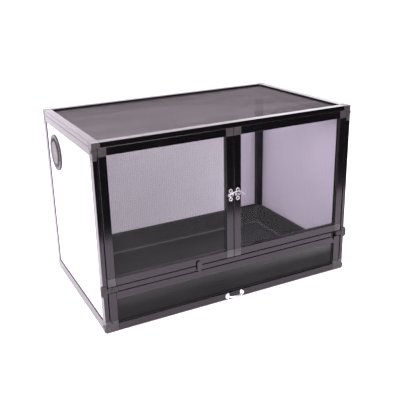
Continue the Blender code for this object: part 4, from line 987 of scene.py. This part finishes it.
@dataclass
class Frame:
    """The fixed frame: bars, corner mouldings and white walls.

    A wall with a dark bead that paints the shadow in its groove is its name, the axis across it and the side
    of its outer face.
    """

    along_x: tuple[str, ...] = (
        "top_rail_front", "top_rail_rear", "bottom_rail_rear", "front_sill", "mid_rail"
    )
    along_y: tuple[str, ...] = ("top_rail_left", "top_rail_right", "bottom_rail_left", "bottom_rail_right")
    along_z: tuple[str, ...] = ("post_front_left", "post_front_right", "post_rear_left", "post_rear_right")
    walls: tuple[str, ...] = ("back_panel", "base_panel", "side_panel_left", "side_panel_right")
    shadow_bead_walls: tuple[tuple[str, int, int], ...] = (
        ("side_panel_left", 0, 0), ("side_panel_right", 0, 1), ("back_panel", 1, 1)
    )
    groove: float = 0.0068
    groove_lift: float = 0.003
    wall_shadow_bead: float = 0.0015
    seal: float = 0.0009
    mesh_bite: float = 0.0037
    bracket_wrap: float = 0.0045
    screw_insets: tuple[float, ...] = (0.0058, 0.0200)
    screw_rise: float = 0.01165
    washer: float = 0.00045
    pad_inset: float = 0.0007
    pad_depth: float = 0.0048
    pad_top: float = 0.0195
    seam_start: float = 0.289
    seam_fall: float = 0.748
    seam_pad: Span = (0.00025, 0.0022)
    seam_inset: float = 0.0003

    def build(self, bars: dict[Grain, Material], rubber: Material, screw: Material) -> list[Piece]:
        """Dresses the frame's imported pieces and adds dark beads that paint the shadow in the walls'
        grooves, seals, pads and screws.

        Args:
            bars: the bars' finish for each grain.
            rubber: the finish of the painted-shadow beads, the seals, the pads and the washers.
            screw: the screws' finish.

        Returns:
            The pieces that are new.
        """
        for names, grain in zip((self.along_x, self.along_y, self.along_z), Grain):
            finish_nodes(bars[grain], *names)
        blocks = [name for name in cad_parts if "corner" in name and not name.startswith("drawer")]
        finish_nodes(CORNER.material(), *blocks)
        finish_nodes(WallSheet().material(), *self.walls)
        finish_nodes(BRACKET.material(), *(f"mid_bracket_{side}" for side in SIDES))
        # Dark beads along the side and back walls' grooves paint the shadow in those grooves.
        walls = [
            seal(name, axis, side, self.groove, self.wall_shadow_bead, self.seal, lift=self.groove_lift)
            for name, axis, side in self.shadow_bead_walls
        ]
        cord = seal("mesh_top", 2, 1, self.mesh_bite, self.seal, self.seal, self.seal / 2)
        places = [
            FrontScrew().place(f"mid_bracket_{side}", self.bracket_wrap + inset, self.screw_rise)
            for side in SIDES for inset in self.screw_insets
        ]
        heads = [FrontScrew().head(place) for place in places]
        around = FrontScrew().radius + self.washer
        washers = [ring(place, around, self.washer, self.washer, 1) for place in places]
        return [
            make_piece("wall_shadow_beads", merged(walls), rubber, "frame"),
            make_piece("top_mesh_cord", cord, rubber, "frame"),
            make_piece("bracket_screws", merged(heads), screw, "frame"),
            make_piece("bracket_washers", merged(washers), rubber, "frame"),
            self.buffers(rubber),
            self.seam_pads(rubber),
        ]

    def buffers(self, material: Material) -> Piece:
        """Makes the rubber pads behind the drawer's corner lugs, in the cuts of the front posts' feet.

        Args:
            material: the pads' finish.

        Returns:
            The piece.
        """
        pads = []
        inset, soft, top = self.pad_inset, self.pad_inset / 2, self.pad_top
        levels = [(soft, inset), (0.0, inset + soft), (0.0, top - soft), (soft, top)]
        for side in SIDES:
            low, high = corners(f"post_front_{side}")
            low[0] += inset
            high[0] -= inset
            low[1] = high[1] - self.pad_depth
            pads.append(stacked([(*level, inset) for level in levels], low, high, CORNER_STEPS))
        return make_piece("foot_buffers", merged(pads), material, "frame")

    def seam_pads(self, material: Material) -> Piece:
        """Makes the thin pads under the front posts' slanted feet, over the drawer's corner lugs.

        Seam height = the lug's top - its fall times the distance outwards from where the fall starts.

        Args:
            material: the pads' finish.

        Returns:
            The piece.
        """
        pads = []
        for sign, side in zip((-1, 1), SIDES):
            low, high = corners(f"post_front_{side}")
            across = np.sort(np.abs([low[0], high[0]])) + np.array([self.seam_inset, -self.seam_inset])
            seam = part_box(f"drawer_{side}_corner")[1][2] - self.seam_fall * (across - self.seam_start)
            heights = np.append(seam + self.seam_pad[0], seam[::-1] + self.seam_pad[1])
            section = np.column_stack([sign * np.append(across, across[::-1]), heights])
            pads.append(carried(section, 1, low[1] + self.seam_inset, high[1] - self.pad_depth))
        return make_piece("seam_pads", merged(pads), material, "frame", smooth=False)


@dataclass
class Vent:
    """The round vent in the left wall."""

    gauze_radius: float = 0.0330
    gauze_pitch: float = 0.0011
    gauze_wire: float = 0.00026
    gauze_depth: float = 0.0055
    flange_rings: Span = (0.0362, 0.0340)
    cap_ring: float = 0.0200
    flange_rise: float = 0.0009
    cap_rise: float = 0.0001
    ring_wide: float = 0.0006
    ring_tall: float = 0.00042
    ring_steps: int = 48

    def build(self, wire: Material) -> list[Piece]:
        """Dresses the vent's flange and cap, and adds its moulded rings and the gauze behind its slots.

        Args:
            wire: the gauze's finish.

        Returns:
            The pieces that are new.
        """
        low, high = corners("vent_flange")
        middle = (low + high) / 2
        material = VentMoulding(tuple(middle.tolist())).material()
        finish_nodes(material, "vent_flange", "vent_cap")
        places = [(low[0] + self.flange_rise, radius) for radius in self.flange_rings]
        places.append((corners("vent_cap")[0][0] + self.cap_rise, self.cap_ring))
        rings = [
            ring((face, middle[1], middle[2]), radius, self.ring_wide, self.ring_tall, 0, self.ring_steps)
            for face, radius in places
        ]
        beads = make_piece("vent_rings", merged(rings), material, "frame")
        return [beads, self.gauze(low, middle, wire)]

    def gauze(self, low: np.ndarray, middle: np.ndarray, material: Material) -> Piece:
        """Lays wires both ways across the sleeve: half length = root of radius squared - offset squared.

        Args:
            low: the flange's low corner.
            middle: the flange's middle.
            material: the wires' finish.

        Returns:
            The piece.
        """
        count = int((self.gauze_radius - self.gauze_wire) / self.gauze_pitch)
        offsets = np.arange(-count, count + 1) * self.gauze_pitch
        half = np.sqrt(self.gauze_radius**2 - offsets**2)
        layers = []
        for along, across, layer in ((1, 2, 0), (2, 1, 1)):
            ends = middle[along] - half, middle[along] + half
            level = low[0] + self.gauze_depth + 2 * layer * self.gauze_wire
            layers.append(wires(along, across, middle[across] + offsets, ends, level, self.gauze_wire))
        return make_piece("vent_gauze", merged(layers), material, "frame")


@dataclass
class Doors:
    """Both doors: framed leaves with a mesh on the left and a clear pane on the right."""

    bite: float = 0.0047
    radius: float = 0.0008
    sink: float = 0.00032

    def build(self, bars: dict[Grain, Material], rubber: Material) -> list[Piece]:
        """Dresses the leaves' bars and pane, and adds the seals round the net and the pane.

        Args:
            bars: the bars' finish for each grain.
            rubber: the seals' finish.

        Returns:
            The pieces that are new.
        """
        finish_nodes(ClearSheet().material(), "right_door_glazing")
        made = []
        for side, infill in zip(SIDES, ("left_door_mesh", "right_door_glazing")):
            finish_nodes(bars[Grain.ALONG_X], f"{side}_door_top_rail", f"{side}_door_bottom_rail")
            finish_nodes(bars[Grain.ALONG_Z], f"{side}_door_outer_stile", f"{side}_door_meeting_stile")
            cord = seal(infill, 1, 0, self.bite, self.radius, self.radius, -self.sink)
            made.append(make_piece(f"{side}_door_seal", cord, rubber, f"{side}_door"))
        return made


@dataclass
class Fittings:
    """Latch, turn button and drawer handle. A scroll is its reach, its rise, its radius and its spans."""

    scrolls: tuple[tuple[float, float, float, int], ...] = (
        (0.0, 0.0092, 0.0034, 24), (0.0040, 0.0, 0.0021, 16), (0.0, 0.0043, 0.0007, 12)
    )
    wire: float = 0.00075
    proud: float = 0.0005
    sink: float = 0.0012
    plate_half_width: float = 0.0125
    plate_squash: float = 0.50
    plate_rise: float = 0.0011

    def build(self, rubber: Material) -> list[Piece]:
        """Dresses the plated and moulded fittings, and adds the plates' relief and the handle's backplate.

        Args:
            rubber: the backplate's finish.

        Returns:
            The pieces that are new.
        """
        metal = CastMetal().material()
        finish_nodes(metal, "latch_hook", "drawer_handle")
        finish_nodes(PATINA.material(), *(f"latch_plate_{side}" for side in SIDES))
        finish_nodes(BUTTON.material(), "turn_button")
        return [*(self.relief(side, metal) for side in SIDES), self.backplate(rubber)]

    def relief(self, side: str, material: Material) -> Piece:
        """Makes the bright scrolls and rivets on a latch plate.

        Args:
            side: the plate's door.
            material: the scrolls' finish.

        Returns:
            The piece.
        """
        low, high = corners(f"latch_plate_{side}")
        x, _, z = (low + high) / 2
        face = high[1] - self.sink
        parts = [
            ring((x + end * reach, face, z + end * rise), radius, self.wire, self.proud, 1, steps)
            for end in (-1, 1) for reach, rise, radius, steps in self.scrolls
        ]
        return make_piece(f"latch_scrolls_{side}", merged(parts), material, f"{side}_door")

    def backplate(self, material: Material) -> Piece:
        """Makes the dark domed plate on the drawer's lower rail, behind the bow: a round dome, squashed.

        Args:
            material: the plate's finish.

        Returns:
            The piece.
        """
        low, high = corners("drawer_handle")
        x, _, z = (low + high) / 2
        centre = (x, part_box("drawer_bottom_rail")[0][1], z + self.plate_rise)
        points, faces = cross_head(centre, self.plate_half_width, self.proud, 0.0)
        points[:, 2] = centre[2] + (points[:, 2] - centre[2]) * self.plate_squash
        return make_piece("handle_backplate", (points, faces), material, "drawer")


@dataclass
class Drawer:
    """The drawer: framed black front and formed tray."""

    bite: float = 0.0047
    seal: float = 0.0008
    sink: float = 0.00032
    screw_inset: float = 0.0093
    screw_rise: float = 0.009
    tray_height: float = 0.0507
    tray_wall: float = 0.002
    tray_lip: float = 0.004
    tray_taper: float = 0.009
    tray_corner: float = 0.022
    tray_fold: float = 0.006
    inner_fold: float = 0.0078
    under_lip: float = 0.0024
    lip_soft: float = 0.0006
    corner_steps: int = 8
    upstand_inset: float = 0.071
    upstand_soft: float = 0.0007
    painted_highlight_rise: Span = (0.0002, 0.0030)

    def build(self, bars: dict[Grain, Material], rubber: Material, screw: Material) -> list[Piece]:
        """Dresses the drawer and adds its seal, screws and formed tray.

        Args:
            bars: the bars' finish for each grain.
            rubber: the seal's finish.
            screw: the screws' finish.

        Returns:
            The pieces that are new.
        """
        lugs = [f"drawer_{side}_corner" for side in SIDES]
        finish_nodes(LUG.material(), *lugs)
        finish_nodes(bars[Grain.ALONG_X], "drawer_top_rail", "drawer_bottom_rail")
        finish_nodes(bars[Grain.ALONG_Z], "drawer_left_stile", "drawer_right_stile")
        finish_nodes(GlossSheet().material(), "drawer_panel")
        cord = seal("drawer_panel", 1, 0, self.bite, self.seal, self.seal, -self.sink)
        places = [FrontScrew().place(lug, self.screw_inset, self.screw_rise) for lug in lugs]
        heads = [FrontScrew().head(place) for place in places]
        return [
            make_piece("drawer_panel_seal", cord, rubber, "drawer"),
            make_piece("drawer_screws", merged(heads), screw, "drawer"),
            self.tray(),
        ]

    def tray(self) -> Piece:
        """Makes the formed tray: one profile of rounded folds, carried round a round-cornered rectangle.

        A profile point has an inset from the lip's outer edge and a height. Its ring is the lip's
        rectangle drawn in by the inset, with a corner radius that shrinks by half of the inset.

        Returns:
            The piece, with the upstand that fastens the tray to the drawer's front.
        """
        low, high = corners("drawer_tray")
        wall, lip, soft = self.tray_wall, self.tray_lip, self.lip_soft
        fold, inner, foot = self.tray_fold, self.inner_fold, lip + self.tray_taper
        bottom, rim = low[2], low[2] + self.tray_height
        profile = filleted([
            (foot + fold * 2, bottom, 0.0),
            (foot, bottom, fold),
            (lip, rim - wall, self.under_lip),
            (soft, rim - wall, soft),
            (0.0, rim - wall / 2, soft),
            (soft, rim, soft),
            (lip + wall, rim, fold / 2),
            (foot + wall, bottom + wall, inner),
            (foot + wall + inner * 2, bottom + wall, 0.0),
        ])
        levels = [(inset, height, self.tray_corner - inset / 2) for inset, height in profile]
        points, faces = stacked(levels, low, high, self.corner_steps)
        shell = points, [face[::-1] for face in faces]
        # The upstand: a strip along the tray's front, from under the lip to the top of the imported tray
        front, back, top, soft = low[1], low[1] + wall, high[2], self.upstand_soft
        section = np.array([
            (front, rim - wall), (back, rim - wall), (back, top - soft),
            (back - soft, top), (front + soft, top), (front, top - soft),
        ])
        upstand = carried(section, 0, low[0] + self.upstand_inset, high[0] - self.upstand_inset)
        # The tray's finish paints a highlight line just above its floor, along the inner fold.
        floor = bottom + wall
        sheet = replace(TRAY, painted_highlight_line=(floor + self.painted_highlight_rise[0], floor + self.painted_highlight_rise[1])).material()
        piece = make_piece("formed_tray", merged([shell, upstand]), sheet, "drawer")
        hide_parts("drawer_tray")
        return piece


def set_up(name: str, data: Any, directions: Sequence[np.ndarray], place: Point) -> Piece:
    """Puts a camera or a light in the scene.

    Args:
        name: its name.
        data: the camera or the light.
        directions: its right, up and back directions.
        place: where it stands.

    Returns:
        The object.
    """
    made = bpy.data.objects.new(name, data)
    bpy.context.scene.collection.objects.link(made)
    made.matrix_world = Matrix([*np.column_stack([*directions, place]).tolist(), (0.0, 0.0, 0.0, 1.0)])
    return made


@dataclass
class Camera:
    """The camera at the photograph's angle, from a fit to the frame's corners."""

    azimuth: float = -25.4264
    elevation: float = 18.8559
    roll: float = -1.9002
    place: Point = (-0.6167, -1.2206, 0.6890)
    focal_pixels: float = 614.89
    picture_width: float = 400.0
    centre_x: float = 182.22
    centre_y: float = 182.55
    sensor: float = 36.0

    def build(self) -> None:
        """Makes the camera: its back, right and up directions from azimuth, elevation and roll."""
        turn, rise, roll = (math.radians(angle) for angle in (self.azimuth, self.elevation, self.roll))
        back = np.array([math.sin(turn) * math.cos(rise), -math.cos(turn) * math.cos(rise), math.sin(rise)])
        level = np.cross(-back, (0.0, 0.0, 1.0))
        level /= np.linalg.norm(level)
        upright = np.cross(level, -back)
        right = level * math.cos(roll) + upright * math.sin(roll)
        up = upright * math.cos(roll) - level * math.sin(roll)
        data = bpy.data.cameras.new("camera")
        data.sensor_width = self.sensor
        data.lens = self.sensor * self.focal_pixels / self.picture_width
        data.shift_x = 0.5 - self.centre_x / self.picture_width
        data.shift_y = self.centre_y / self.picture_width - 0.5
        bpy.context.scene.camera = set_up("camera", data, (right, up, back), self.place)


@dataclass(frozen=True)
class Softbox:
    """A rectangular area light that faces a target."""

    name: str
    place: Point
    target: Point
    size: Span
    power: float

    def build(self) -> None:
        """Makes the light. Its right direction is level, unless it hangs nearly straight above its target."""
        data = bpy.data.lights.new(self.name, "AREA")
        data.shape = "RECTANGLE"
        data.size, data.size_y = self.size
        data.energy = self.power
        back = np.array(self.place) - np.array(self.target)
        back /= np.linalg.norm(back)
        steep = abs(back[2]) > STEEP
        right = np.cross((0.0, 1.0, 0.0) if steep else (0.0, 0.0, 1.0), back)
        right /= np.linalg.norm(right)
        set_up(self.name, data, (right, np.cross(back, right), back), self.place)


@dataclass
class Studio:
    """Pale floor that curves up into a backdrop, soft lights and a dim room in front."""

    half_width: float = 3.0
    front: float = -0.62
    back: float = 1.9
    bend: float = 0.7
    bend_steps: int = 24
    height: float = 2.6
    white: Colour = (0.86, 0.80, 0.86)
    glow_tint: Colour = (1.0, 0.93, 1.0)
    glow: float = 0.25
    fibre_depth: float = 0.00002
    room: Colour = (0.95, 0.93, 1.0)
    room_strength: float = 0.06
    lights: tuple[Softbox, ...] = (
        Softbox("overhead", (-0.25, -0.10, 2.2), (0.0, 0.0, 0.2), (2.6, 2.2), 124.0),
        Softbox("front_key", (0.0, -2.7, 1.8), (-0.1, 0.0, 0.25), (2.2, 1.4), 62.0),
        Softbox("side_key", (-2.2, -1.9, 1.8), (0.1, 0.05, 0.2), (1.9, 1.5), 62.0),
        Softbox("left_fill", (-2.3, -0.4, 1.0), (0.0, 0.0, 0.25), (1.6, 1.6), 20.0),
        Softbox("rear_glow", (0.3, 1.8, 1.45), (0.0, 0.0, 0.45), (3.6, 1.3), 27.0),
    )

    def build(self) -> None:
        """Makes the backdrop, the lights and the world."""
        self.backdrop()
        for light in self.lights:
            light.build()
        world = bpy.data.worlds.new("room")
        world.use_nodes = True
        background = world.node_tree.nodes["Background"]
        background.inputs["Color"].default_value = (*self.room, 1.0)
        background.inputs["Strength"].default_value = self.room_strength
        bpy.context.scene.world = world
        bpy.context.scene.view_settings.view_transform = "Standard"

    def backdrop(self) -> None:
        """Carries the line of floor, quarter round and wall across the width."""
        turns = np.linspace(0.0, math.pi / 2, self.bend_steps)[1:]
        start = self.back - self.bend
        curve = np.column_stack([start + self.bend * np.sin(turns), self.bend - self.bend * np.cos(turns)])
        profile = np.vstack([(self.front, 0.0), (start, 0.0), curve, (self.back, self.height)])
        points = np.empty((len(profile), 2, 3))
        points[:, :, 0] = np.array([-self.half_width, self.half_width])
        points[:, :, 1:] = profile[:, None]
        faces = [[2 * i, 2 * i + 1, 2 * i + 3, 2 * i + 2] for i in range(len(profile) - 1)]
        nodes = Nodes("backdrop_paper")
        nodes.dress(
            Base_Color=(*self.white, 1.0),
            Roughness=0.85,
            Emission_Color=(*self.glow_tint, 1.0),
            Emission_Strength=self.glow,
            Normal=nodes.bumped(nodes.noise(900.0), self.fibre_depth),
        )
        make_object("backdrop", (points, faces), nodes.material)


def main() -> None:
    """Builds the camera, the studio and each sub-assembly, and reports the pieces."""
    logging.basicConfig(level=logging.INFO, format="%(message)s")
    Camera().build()
    Studio().build()
    bars = {grain: AnodisedProfile(grain).material() for grain in Grain}
    wire, door_wire = CoatedWire().material(), DOOR_WIRE.material()
    rubber, screw = RUBBER.material(), SCREW.material()
    made = [
        *Frame().build(bars, rubber, screw),
        *Vent().build(wire),
        *Doors().build(bars, rubber),
        *Fittings().build(rubber),
        *Drawer().build(bars, rubber, screw),
        *WireMesh("top_wire_mesh", "mesh_top", "frame", 2).build(wire),
        *WireMesh("door_wire_mesh", "left_door_mesh", "left_door", 1, 0.0013, 0.000078).build(door_wire),
    ]
    for piece in made:
        LOG.info("%s: %d faces", piece.name, len(piece.data.polygons))


if __name__ == "__main__":
    main()
